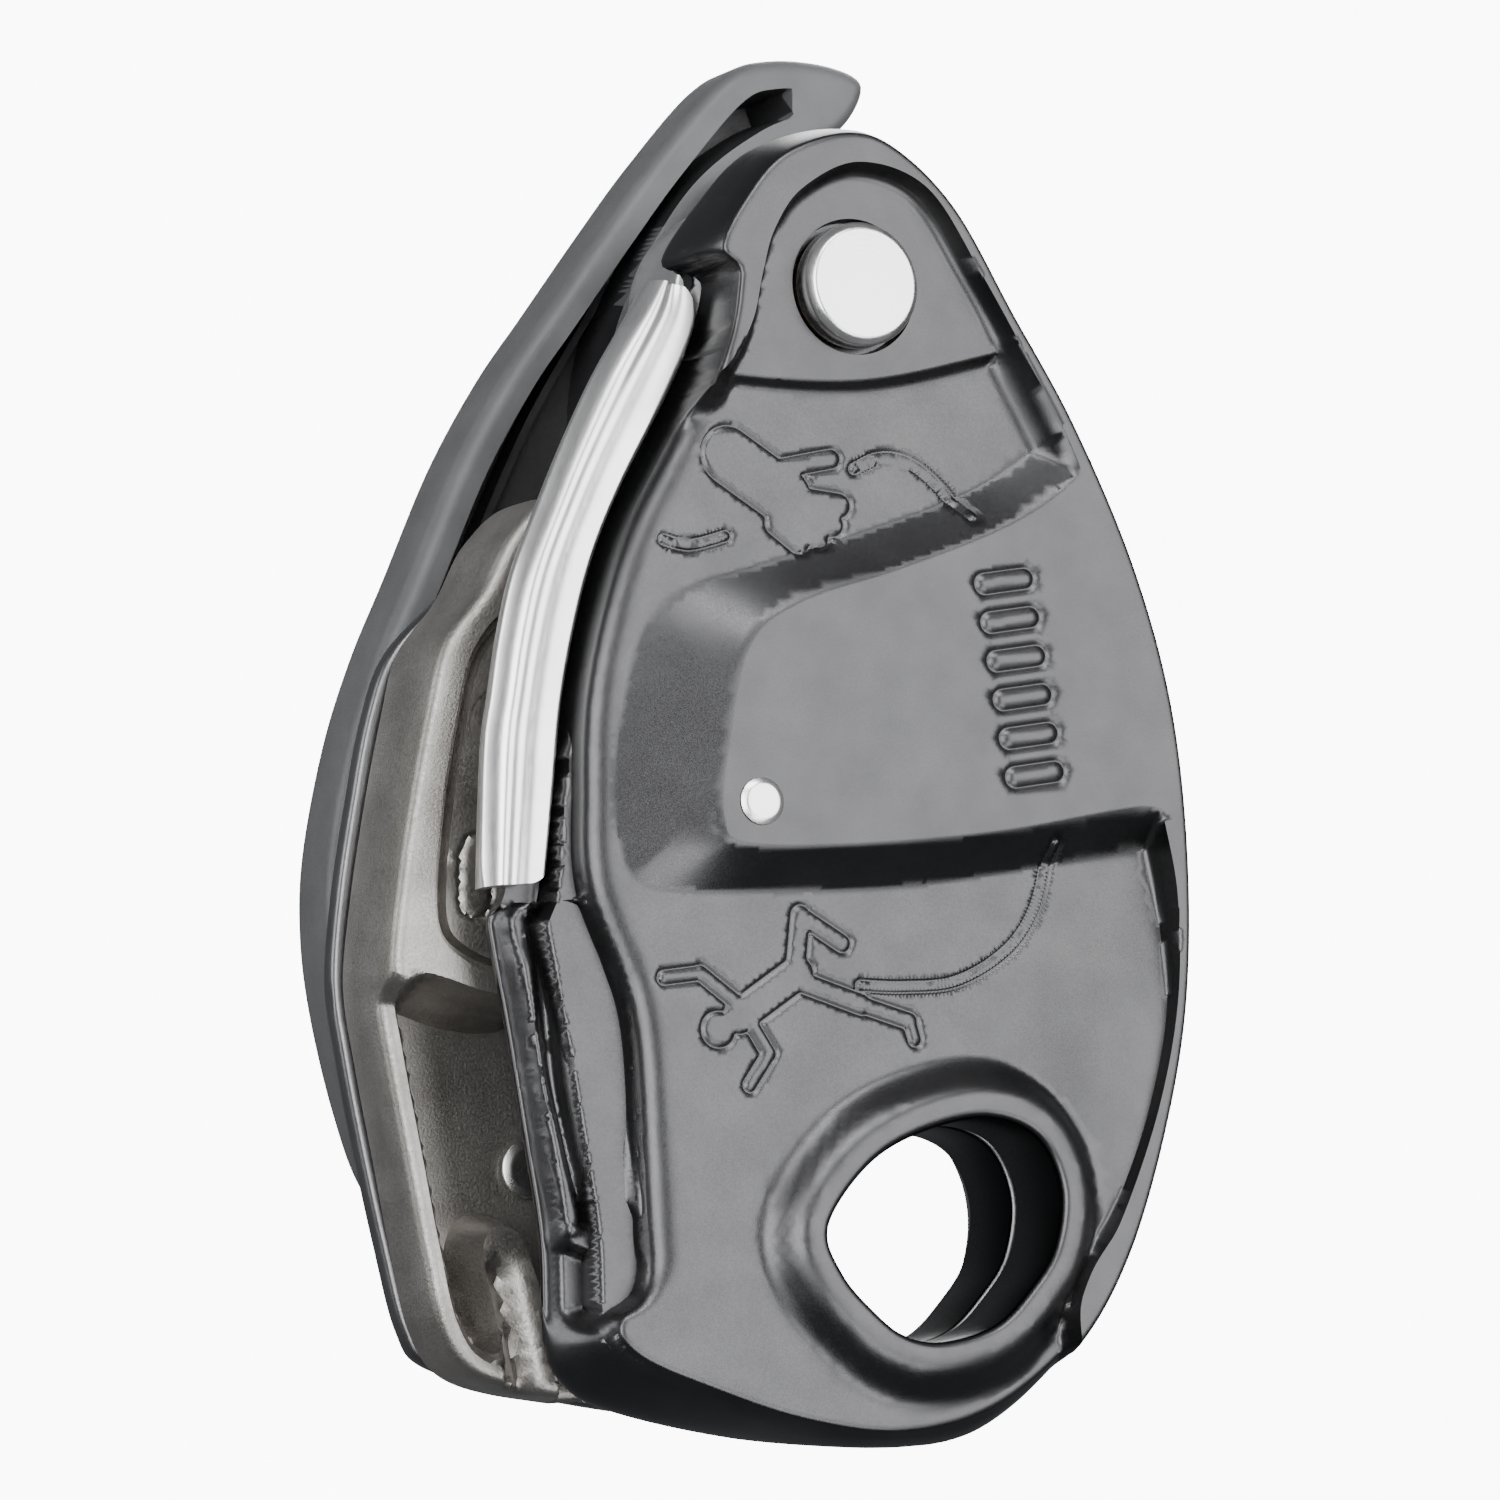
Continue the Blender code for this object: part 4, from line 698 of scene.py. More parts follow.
def make_swinging_plate():
    """The forged plate, its steel lip insert, its pivot bush and its spacer rivet."""
    outline, eye = anticlockwise(curve(PLATE)), curve(EYE)
    bore, spacer = circle(MAIN_PIVOT, PIN_R + 1.0), circle(SPACER, 1.35, 40)
    face, bowl = anticlockwise(curve(FACE)), anticlockwise(curve(BOWL))
    radius = edge_radius(face)[:, None]
    rows = [face] + [inset(face, radius * k) for k in (0.06, 0.2, 0.4, 0.7, 1)]
    rows += [inset(face, -0.35), inset(face, -0.75)]
    rows += closed_edges(outline, (0.1, 0.25, 0.45, SEAT_WIDTH))
    rows += [inset(eye, -d) for d in (0.12, 0.3, 0.5, 0.75, 1.6, 5.0)]
    rows += [circle(MAIN_PIVOT, PIVOT_HEAD_R + d) for d in (0.29, 0.46)]
    width = wall_width(bowl)[:, None]
    rows += [inset(bowl, width * k) for k in (0, 0.33, 0.66, 1)]
    rows += [curve(TONGUE), inset(anticlockwise(curve(TONGUE)), 0.25), curve(TONGUE_FOOT)]
    rows += [shifted(PIVOT_STEP, d * STEP_WIDTH) for d in (0, 0.25, -0.25, -0.6, -1)]
    panel = anticlockwise(curve(SIDE_PANEL))
    rows += [inset(panel, d) for d in (-0.11, 0.08, 0.26, 0.44)]
    bead = curve(SIDE_BEAD, closed=False)
    rows += [bead + (d, 0) for d in (0, -0.35, 0.35, -0.8, 0.8)]
    rows += [run for parts in FIGURES for d in (-ENGRAVED, -0.06, 0.06, ENGRAVED)
             for run in stroke_line(parts, d)]
    dense = [((-22.0, 9.5), (14.0, 29.5), 0.42), ((-19.0, 49.0), (11.0, 61.5), 0.42),
             ((-31.5, -8.0), (-22.5, 28.0), 0.3), ((-30.5, 28.0), (-19.0, 49.0), 0.4),
             ((-19.0, 61.5), (-6.0, 76.0), 0.35)]
    solid = relief([outline, eye, bore, spacer], plate_front, plate_back, rows, FIELD, dense)
    # the faces lining the carabiner eye get a near-black charcoal: painted shade
    piece("plate_forging", "swinging_side", "swinging_side_plate",
          LOOKS["charcoal"], solid, sharp=65, second=(LOOKS["bore"], eye_bore_painted_shade))
    piece("lip_strip", "swinging_side", "lip_insert", LOOKS["polished"],
          lip_insert())
    bush = [(PIN_R + GAP, POCKET + 0.4), (PIN_R + 0.7, POCKET + 0.4),
            (PIN_R + 0.7, PLATE_BACK - 0.1), (PIN_R + GAP, PLATE_BACK - 0.1)]
    piece("pivot_bushing", "swinging_side", "pivot_bush", LOOKS["bronze"],
          turned(MAIN_PIVOT, bush))
    profile = [(0, -0.35), (1.3, -0.35), (1.75, -0.1), (1.75, -0.05), (1.05, -0.05),
               (1.05, PLATE_BACK + GAP), (1.9, PLATE_BACK + GAP), (1.9, 6.0), (1.4, 6.4), (0, 6.4)]
    piece("spacer_stud", "swinging_side", "spacer_rivet", LOOKS["turned"],
          turned(SPACER, profile, 64, 0.15))


def along(line, t):
    """The point a fraction t of the way along an evenly spaced line."""
    at = t * (len(line) - 1)
    return np.array([np.interp(at, range(len(line)), line[:, k]) for k in (0, 1)])


END_ROUNDING = 0.03  # of the lip insert's length, at its inner corners


def lip_insert(stations=150):
    """A curved steel strip: a dished front band and a round shoulder over the plate's edge."""
    inner, outer = curve(LIP_INNER, 0.25, closed=False), curve(LIP_OUTER, 0.25, closed=False)
    wrap, under = LIP_BACK - LIP_FRONT, LIP_SEAT - GAP - LIP_FRONT
    across = np.linspace(0, 1.1, 60)
    dished = 0.34 * np.exp(-((across - 0.6) / 0.17) ** 2)
    shoulder = 1.45 * ramp((across - 0.72) / 0.38) ** 2.2
    front = across, dished + shoulder + 0.5 * ramp(1 - across / 0.1) ** 2
    section = list(zip(*front)) + [(1.12, 1.75), (1.1, 2.1),
                                   (1.0, wrap), (0.8, wrap), (0.8, under), (0.4, under),
                                   (0.0, 1.6)]
    verts, faces = [], []
    for s in np.linspace(0, 1, stations):
        for across, depth in section:
            corner = END_ROUNDING * ramp(1 - across / 0.3) ** 2
            t = corner + s * (1 - 1.5 * corner)
            a, b = along(inner, t), along(outer, t)
            p = a + (b - a) * across
            verts.append((p[0], LIP_FRONT + depth, p[1]))
    m = len(section)
    for k in range(stations - 1):
        for i in range(m):
            p, q = k * m + i, k * m + (i + 1) % m
            faces.append((p, p + m, q + m, q))
    faces.append(tuple(range(m)))
    faces.append(tuple(range((stations - 1) * m, stations * m))[::-1])
    return verts, faces


# ---------------------------------------------------------------- the fixed side

def body_front(points):
    """Depth of the friction body's front: channel floor, rounded lip, block, panel and rib."""
    x, z = points.T
    edge = curve(BODY)
    left = distance(points, edge[(edge[:, 0] < -31)], closed=False)
    lip = smooth((3.6 - left) / 2.4) * smooth((-26 - x) / 4) * smooth((24 - z) / 3 + 1)
    depth = FLOOR - (FLOOR - CREST) * lip
    rib = smooth(depth_in(points, curve(RIB)) / 1.3)
    groove = np.exp(-((x + 29.0 + 0.145 * z) / 0.8) ** 2) * smooth((1.6 - z) / 2)
    depth = np.minimum(depth, FLOOR - (4.2 - 1.5 * groove) * rib)
    block = smooth(depth_in(points, curve(BLOCK)) / 2.0 + 0.2)
    depth = depth + (BLOCK_FRONT - depth) * block
    panel = depth_in(points, curve(PANEL))
    depth = depth + 1.3 * smooth(panel / 0.3) - 0.8 * smooth((panel - 0.75) / 0.35)
    return depth + body_marks(points) + fillet(distance(points, edge), 0.9)


def body_marks(points):
    """Plain engraved shapes on the body's panel: a ring and a rounded bar."""
    x, z = points.T
    ring = abs(np.hypot(x - PANEL_RING[0], z - PANEL_RING[1]) - PANEL_RING_R)
    bar = abs(strokes(points, [((-30.0, 27.2), (-29.6, 30.6), 1.3)]))
    tick = strokes(points, [((-28.6, 33.0), (-28.4, 35.6), 0.12)])
    return 0.25 * smooth((0.2 - np.minimum.reduce([ring, bar, abs(tick)])) / 0.12)


def body_back(points):
    """The friction body lies flat on the fixed plate."""
    return np.full(len(points), BODY_BACK) - fillet(distance(points, curve(BODY)), 0.25)


def fixed_front(points):
    """Depth of the fixed plate's front: flat, with the eye's collar and a counterbore."""
    x, z = points.T
    to_eye = distance(points, curve(EYE))
    collar = smooth((5.8 - to_eye) / 2.4)
    depth = FIXED_FRONT - (FIXED_FRONT - EYE_MEET - GAP / 2) * collar
    bore = ramp((3.85 - np.hypot(x - SELECTOR[0], z - SELECTOR[1])) / 0.12)
    depth = depth + (FIXED_FRONT + 1.3 - depth) * bore
    return depth + fillet(distance(points, curve(FIXED)), 0.5) + fillet(to_eye, 0.4)


def fixed_back(points):
    """Depth of the fixed plate's back: flat, dished round the eye, rounded at its edge."""
    dish = ramp(1 - distance(points, curve(EYE)) / 5.0)
    dished = FIXED_BACK - (FIXED_BACK - DISH_DEPTH) * dish ** 1.2
    return dished - fillet(distance(points, curve(FIXED)), 1.1)


def drive_slot(spare):
    """The arc in the fixed side that the cam's drive pin moves along."""
    return arc_slot(CAM_AXLE, DRIVE_R, 1.6 + spare, DRIVE_AT - CAM_SWING - 3, DRIVE_AT + 3)


def make_fixed_side():
    """The fixed plate, the friction body and shoe, and the pins and rivets they hold."""
    outline, eye = anticlockwise(curve(BODY, LINE)), curve(EYE, LINE)
    axle_hole = circle(CAM_AXLE, AXLE_R + GAP, 48)
    rivet_holes = [circle(p, RIVET_HOLE_R, 36) for p in RIVETS]
    loops = [outline, axle_hole, drive_slot(0.5), *rivet_holes, circle(STOP_PIN, STOP_HOLE_R, 32)]
    block, panel = (anticlockwise(curve(line, LINE)) for line in (BLOCK, PANEL))
    rib = anticlockwise(curve(RIB, LINE))
    rows = closed_edges(outline, (0.1, 0.25, 0.5, 0.9, 1.2, 2.4, 3.6))
    rows += [inset(block, d) for d in (-0.4, 0, 0.5, 1.0, 1.6)]
    rows += [inset(rib, d) for d in (0, 0.4, 0.9, 1.3)]
    rows += [inset(panel, d) for d in (0, 0.15, 0.3, 0.75, 0.92, 1.1)]
    rows += [circle(PANEL_RING, PANEL_RING_R + d, 60) for d in (-0.2, -0.07, 0.07, 0.2)]
    dense = [((-34.0, 21.0), (-23.0, 49.0), 0.35)]
    solid = relief(loops, body_front, body_back, rows, FIELD, dense)
    piece("brake_casting", "fixed_side", "friction_body", LOOKS["blasted"], solid)

    outline = anticlockwise(curve(FIXED, LINE))
    pivot_hole = circle(MAIN_PIVOT, PIN_R + GAP, 60)
    loops = [outline, eye, axle_hole, pivot_hole, drive_slot(0.5), *rivet_holes,
             circle(STOP_PIN, STOP_HOLE_R, 32), circle(SELECTOR, 2.4, 40), circle(DETENT, 1.2, 24),
             circle(HANDLE_STOP, 1.35, 24)]
    rows = closed_edges(outline, (0.1, 0.25, 0.5, 0.8, 1.15))
    rows += [circle(SELECTOR, 3.7, 60), circle(SELECTOR, 3.9, 60)]
    rows += [inset(eye, -d) for d in (0.1, 0.25, 0.45, 3.4, 5.0, 5.8)]
    solid = relief(loops, fixed_front, fixed_back, rows, 1.0)
    # the faces lining the carabiner eye get a near-black charcoal: painted shade
    piece("fixed_plate", "fixed_side", "fixed_side_plate", LOOKS["alloy"], solid,
          second=(LOOKS["bore"], eye_bore_painted_shade))

    shoe = [(PIN_R + GAP, 5.9), (PIN_R + GAP, BODY_BACK), (SHOE_R, BODY_BACK), (SHOE_R, 13.0),
            (SHOE_R - 0.8, 12.0), (7.0, 11.8), (7.0, 7.0), (6.6, 6.5), (5.6, 6.3), (5.2, 5.9)]
    fixed_turned("brake_shoe", "friction_shoe", "polished", MAIN_PIVOT, shoe, 0.3)
    pin = [(0, -0.2), (PIVOT_HEAD_R - 0.5, -0.2), (PIVOT_HEAD_R, 0.4), (PIVOT_HEAD_R, 2.1),
           (PIN_R, 2.1), (PIN_R, FIXED_BACK + GAP), (5.2, FIXED_BACK + GAP), (5.2, 26.2),
           (4.6, 26.8), (0, 26.8)]
    fixed_turned("pivot_stud", "main_pivot_pin", "faced", MAIN_PIVOT, pin, 0.2)
    ring = [(PIN_R + GAP, PLATE_BACK + GAP), (4.8, PLATE_BACK + GAP), (4.8, 5.55),
            (PIN_R + GAP, 5.55)]
    fixed_turned("thrust_washer", "pivot_washer", "bronze", MAIN_PIVOT, ring, 0.08)
    axle = [(0, 6.25), (4.7, 6.25), (5.0, 6.4), (5.0, 6.75), (AXLE_R, 6.75), (AXLE_R, 32.4),
            (AXLE_R - 0.4, 32.8), (0, 32.8)]
    fixed_turned("cam_spindle", "cam_axle", "turned", CAM_AXLE, axle, 0.1)
    clip = [(AXLE_R + GAP, FIXED_BACK + GAP), (5.4, FIXED_BACK + GAP), (5.4, 25.1),
            (AXLE_R + GAP, 25.1)]
    fixed_turned("spindle_clip", "axle_retaining_ring", "steel", CAM_AXLE,
                 clip, 0.1)
    head = CAM_BACK + GAP  # the cam passes over the heads
    rivet = [(0, head), (1.6, head), (2.2, head + 0.2), (2.2, FLOOR - GAP), (1.45, FLOOR - GAP),
             (1.45, FIXED_BACK - 0.1), (0, FIXED_BACK - 0.1)]
    for n, at in enumerate(RIVETS, 1):
        fixed_turned(f"body_rivet_{n}", f"friction_body_rivet_{n}", "turned",
                     at, rivet, 0.15)
    pin = [(0, CAM_FRONT + 1), (1.0, CAM_FRONT + 1), (1.2, CAM_FRONT + 1.4), (1.2, 24.0), (0, 24.0)]
    fixed_turned("cam_stop", "cam_stop_pin", "steel", STOP_PIN, pin, 0.1)
    pin = [(0, 22.0), (1.05, 22.0), (1.05, 27.6), (0.8, 28.0), (0, 28.0)]
    fixed_turned("handle_stop", "handle_stop_pin", "steel", HANDLE_STOP, pin, 0.1)
    ball = [(0.85 * sin(a), 23.6 - 0.85 * cos(a)) for a in np.linspace(0, pi, 25)]
    ball[0], ball[-1] = (0, 23.6 - 0.85), (0, 23.6 + 0.85)
    fixed_turned("detent_sphere", "detent_ball", "steel", DETENT, ball, 0)
    piece("detent_coil", "fixed_side", "detent_spring", LOOKS["steel"],
          coil(DETENT, 0.65, 21.3, 22.4, 2.5, 0, 0.16))


def fixed_turned(name, node, look, centre, profile, rounding):
    """A turned piece that belongs to the fixed side."""
    piece(name, "fixed_side", node, LOOKS[look], turned(centre, profile, ROUND, rounding))


# ---------------------------------------------------------------- the cam

def cam_outline():
    """The cam's outline: its round rope face and its braking nose, joined by tangents."""
    (ax, az), (bx, bz) = CAM_CENTRE, NOSE_CENTRE
    span = hypot(bx - ax, bz - az)
    facing = np.degrees(np.arctan2(bz - az, bx - ax))
    lean = np.degrees(np.arccos((CAM_R - NOSE_R) / span))
    big = np.arange(facing + lean, facing + 360 - lean, 3)
    small = np.linspace(facing - lean, facing + lean, 21)
    points = [polar(CAM_CENTRE, CAM_R, a) for a in big]
    points += [polar(CAM_CENTRE, CAM_R, facing + 360 - lean)]
    points += [polar(NOSE_CENTRE, NOSE_R, a) for a in small]
    return respaced(np.array(points + points[:1]), 0.6)


def make_cam():
    """The cam with its rope groove, its bush, its return spring and its drive pin."""
    middle = (CAM_FRONT + CAM_BACK) / 2
    groove = [(ROPE_GROOVE * (1 - (t / 4.8) ** 2), middle + t) for t in np.linspace(-4.8, 4.8, 17)]
    profile = rounded([(0.7, CAM_FRONT), (0, CAM_FRONT + 0.7), *groove, (0, CAM_BACK - 0.7),
                       (0.7, CAM_BACK)], 0.3, True)
    drive = polar(CAM_AXLE, DRIVE_R, DRIVE_AT)
    holes = [circle(CAM_AXLE, AXLE_R + 1.3, 60), circle(drive, 1.85, 36)]
    piece("rope_cam", "cam_assembly", "cam", LOOKS["blasted"],
          extruded(cam_outline(), profile, holes))
    bush = [(AXLE_R + GAP, CAM_FRONT + 0.2), (AXLE_R + 1.0, CAM_FRONT + 0.2),
            (AXLE_R + 1.0, CAM_BACK - 2.4), (AXLE_R + GAP, CAM_BACK - 2.4)]
    piece("cam_bushing", "cam_assembly", "cam_bush", LOOKS["bronze"],
          turned(CAM_AXLE, bush))
    piece("cam_coil", "cam_assembly", "cam_return_spring", LOOKS["steel"],
          coil(CAM_AXLE, AXLE_R + 0.67, 17.15, 18.6, 2.1, 0, 0.3))
    pin = [(0, CAM_FRONT + 3), (1.5, CAM_FRONT + 3), (1.5, 26.4), (1.2, 26.8), (0, 26.8)]
    piece("drive_stud", "cam_assembly", "cam_drive_pin", LOOKS["steel"],
          turned(drive, pin, 48, 0.1))


# ---------------------------------------------------------------- the handle

def handle_front(points):
    """Depth of the handle's open front: a wall round a hollow, a hub seat and a solid tip."""
    x, z = points.T
    edge = distance(points, curve(HANDLE))
    hub = np.hypot(x - CAM_AXLE[0], z - CAM_AXLE[1])
    wall = smooth((RIM_WIDTH - edge) / 0.5) * (hub > 11.5)
    raised = 2.6 * smooth((26 - z) / 8) * (hub > 14)
    floor = np.where(hub < 11.6, HOLLOW_FLOOR, HOLLOW_FLOOR - raised)
    floor = np.where(hub < AXLE_R + 2.0, 27.6, floor)
    spine = distance(points, curve(HANDLE_SPINE, closed=False), closed=False)
    floor = floor - 1.5 * smooth((0.6 - spine) / 0.3) * (hub > 12.7)
    solid_tip = smooth((x - 7.2) / 1.2) * (z > 78)
    depth = floor + (HANDLE_FRONT - floor) * np.maximum(wall, solid_tip)
    ring = (hub > 11.5) & (hub < 12.7) & ((x > CAM_AXLE[0]) | (abs(z - CAM_AXLE[1]) > 4.5))
    depth = np.where(ring, np.minimum(depth, 25.4), depth)
    return depth + fillet(edge, 1.3)


def handle_back(points):
    """Depth of the handle's domed back."""
    edge = distance(points, curve(HANDLE))
    return HANDLE_BACK - 2.6 / 3.2 * fillet(edge, 3.2)


def hollow_painted_shade(centres, normals):
    """Which faces line the handle's hollow; they get near-black plastic as painted shade."""
    deep = (centres[:, 1] > HANDLE_FRONT + 0.9) & (centres[:, 1] < 30.5)
    return deep & (normals[:, 1] < 0.3) & (distance(centres[:, [0, 2]], curve(HANDLE)) > 1.4)


def make_handle():
    """The folding release handle with its steel drive plate, spring and cap."""
    outline = anticlockwise(curve(HANDLE, LINE))
    bore, pawl = circle(CAM_AXLE, AXLE_R + 0.4, 48), circle(PAWL_PIN, PAWL_HOLE_R, 32)
    rows = closed_edges(outline, (0.08, 0.2, 0.4, 0.7, 1.0, 1.3, RIM_WIDTH - 0.5,
                                  RIM_WIDTH - 0.25, RIM_WIDTH))
    spine = curve(HANDLE_SPINE, closed=False)
    rows += [spine + (d, 0) for d in (-0.7, -0.35, 0, 0.35, 0.7)]
    rows += [circle(CAM_AXLE, r) for r in (5.05, 5.3, 11.3, 11.65, 12.6, 12.85)]
    solid = relief([outline, bore, pawl], handle_front, handle_back, rows, 0.9)
    # the faces lining the handle's hollow get near-black plastic: painted shade
    piece("handle_shell", "handle_assembly", "release_handle", LOOKS["nylon"], solid,
          second=(LOOKS["dark"], hollow_painted_shade))
    slot = arc_slot(CAM_AXLE, DRIVE_R, 2.2, DRIVE_AT - 165, DRIVE_AT + 4, 60)
    notch = [polar(CAM_AXLE, 11.0, a) for a in np.arange(186, 535, 3.0)]
    rim = np.array(notch + [polar(CAM_AXLE, 10.3, 176), polar(CAM_AXLE, 10.3, 184)])
    profile = [(0.25, 25.5), (0, 25.75), (0, 26.95), (0.25, 27.2)]
    piece("drive_disc", "handle_assembly", "handle_drive_plate", LOOKS["steel"],
          extruded(rim, profile, [circle(CAM_AXLE, AXLE_R + GAP, 60), slot]))
    cap = [(0, 33.3), (6.6, 33.3), (6.9, 33.6), (6.5, 34.2), (3.0, 34.7), (0, 34.8)]
    piece("axle_cap", "handle_assembly", "hub_cap", LOOKS["dark"],
          turned(CAM_AXLE, cap, ROUND, 0.3))
    piece("handle_coil", "handle_assembly", "handle_return_spring",
          LOOKS["steel"], coil(CAM_AXLE, 8.2, 28.2, 29.8, 1.9, 20, 0.35))
    pin = [(0, 25.2), (1.0, 25.2), (1.0, 32.4), (0, 32.4)]
    piece("pawl_stud", "handle_assembly", "pawl_pin", LOOKS["steel"],
          turned(PAWL_PIN, pin, 40, 0.1))


def make_pawl():
    """The anti-panic pawl and its spring."""
    x, z = PAWL_PIN
    outline = curve([(x - 2.6, z), (x - 1.6, z - 2.2), (x + 1.2, z - 2.4), (x + 6.4, z - 0.7),
                     (x + 6.4, z + 0.7), (x + 1.6, z + 2.2), (x - 1.4, z + 2.3)], 0.4)
    profile = [(0.2, 25.6), (0, 25.8), (0, 27.2), (0.2, 27.4)]
    piece("pawl_lever", "pawl_assembly", "anti_panic_pawl", LOOKS["steel"],
          extruded(outline, profile, [circle(PAWL_PIN, PAWL_HOLE_R, 32)]))
    piece("pawl_coil", "pawl_assembly", "pawl_spring", LOOKS["steel"],
          coil(PAWL_PIN, 1.75, 28.0, 29.6, 2.5, 40, 0.25))


def make_selector():
    """The mode selector: a scalloped knob and the screw that holds it."""
    rim = np.array([polar(SELECTOR, KNOB_R - 0.35 * (1 - cos(radians(a * 8))), a)
                    for a in np.arange(0, 360, 1.5)])
    profile = rounded([(0.4, 24.85), (0, 25.2), (0, 27.4), (0.8, 28.2)], 0.3, True)
    piece("selector_dial", "selector_assembly", "selector_knob", LOOKS["dark"],
          extruded(rim, profile, [circle(SELECTOR, 2.4, 48)]))
    screw = [(0, FIXED_FRONT + 0.1), (3.2, FIXED_FRONT + 0.1), (3.2, FIXED_FRONT + 0.9),
             (2.0, FIXED_FRONT + 0.9), (2.0, 27.6), (1.6, 28.0), (0, 28.0)]
    piece("selector_bolt", "selector_assembly", "selector_screw",
          LOOKS["turned"], turned(SELECTOR, screw, 64, 0.1))


# ---------------------------------------------------------------- materials

def node_tree(name, colour, roughness, metallic):
    """A new material with a Principled shader, its nodes and its links."""
    made = bpy.data.materials.new(name)
    made.use_nodes = True
    nodes, links = made.node_tree.nodes, made.node_tree.links
    shader = nodes["Principled BSDF"]
    shader.inputs["Base Color"].default_value = (*colour, 1)
    shader.inputs["Roughness"].default_value = roughness
    shader.inputs["Metallic"].default_value = metallic
    return made, nodes, links, shader


def noise(nodes, links, scale, stretch=(1, 1, 1), detail=3.0):
    """A noise texture in the object's own space, scaled in waves per millimetre."""
    place = nodes.new("ShaderNodeTexCoord")
    mapping = nodes.new("ShaderNodeMapping")
    mapping.inputs["Scale"].default_value = stretch
    texture = nodes.new("ShaderNodeTexNoise")
    texture.inputs["Scale"].default_value = scale / MM
    texture.inputs["Detail"].default_value = detail
    links.new(place.outputs["Object"], mapping.inputs["Vector"])
    links.new(mapping.outputs["Vector"], texture.inputs["Vector"])
    return texture.outputs["Fac"]


def between(nodes, links, fac, low, high):
    """The factor's middle range mapped to a range of values."""
    span = nodes.new("ShaderNodeMapRange")
    span.inputs["From Min"].default_value = 0.3
    span.inputs["From Max"].default_value = 0.7
    span.inputs["To Min"].default_value = low
    span.inputs["To Max"].default_value = high
    links.new(fac, span.inputs["Value"])
    return span.outputs["Result"]


def tint(nodes, links, fac, dark, light):
    """A colour that runs from dark to light with a factor."""
    mix = nodes.new("ShaderNodeMix")
    mix.data_type = "RGBA"
    links.new(between(nodes, links, fac, 0, 1), mix.inputs["Factor"])
    mix.inputs["A"].default_value = (*dark, 1)
    mix.inputs["B"].default_value = (*light, 1)
    return mix.outputs["Result"]


def bump(nodes, links, shader, height, depth_mm, under=None):
    """A bump from a height, its size in millimetres."""
    made = nodes.new("ShaderNodeBump")
    made.inputs["Strength"].default_value = 1.0
    made.inputs["Distance"].default_value = depth_mm * MM
    links.new(height, made.inputs["Height"])
    if under:
        links.new(under, made.inputs["Normal"])
    links.new(made.outputs["Normal"], shader.inputs["Normal"])
    return made.outputs["Normal"]


def grained(name, dark, light, rough, metallic, grain, depth_mm, cloud=0.25, stretch=(1, 1, 1)):
    """A finish with a fine grain, soft colour clouds and uneven gloss."""
    made, nodes, links, shader = node_tree(name, light, rough[1], metallic)
    soft = noise(nodes, links, cloud, detail=4)
    fine = noise(nodes, links, grain, stretch, detail=2)
    links.new(tint(nodes, links, soft, dark, light), shader.inputs["Base Color"])
    links.new(between(nodes, links, fine, *rough), shader.inputs["Roughness"])
    bump(nodes, links, shader, fine, depth_mm)
    return made


def turned_finish(name, colour, rough, centre=None):
    """Lathe-turned steel; with a centre, it shows the fine rings of a facing cut about it."""
    made, nodes, links, shader = node_tree(name, colour, rough, 1.0)
    fine = noise(nodes, links, 9.0, detail=2)
    soft = noise(nodes, links, 0.4, detail=3)
    links.new(between(nodes, links, soft, rough - 0.04, rough + 0.06), shader.inputs["Roughness"])
    links.new(tint(nodes, links, soft, [0.88 * c for c in colour], colour),
              shader.inputs["Base Color"])
    under = bump(nodes, links, shader, fine, 0.003)
    if centre:
        place, mapping = nodes.new("ShaderNodeTexCoord"), nodes.new("ShaderNodeMapping")
        mapping.inputs["Location"].default_value = (-centre[0] * MM, 0, -centre[1] * MM)
        rings = nodes.new("ShaderNodeTexWave")
        rings.wave_type, rings.rings_direction = "RINGS", "Y"
        rings.inputs["Scale"].default_value = 2 * pi / 20 / (RING_PITCH * MM)
        rings.inputs["Distortion"].default_value = 1.5
        links.new(place.outputs["Object"], mapping.inputs["Vector"])
        links.new(mapping.outputs["Vector"], rings.inputs["Vector"])
        bump(nodes, links, shader, rings.outputs["Fac"], 0.004, under=under)
    return made


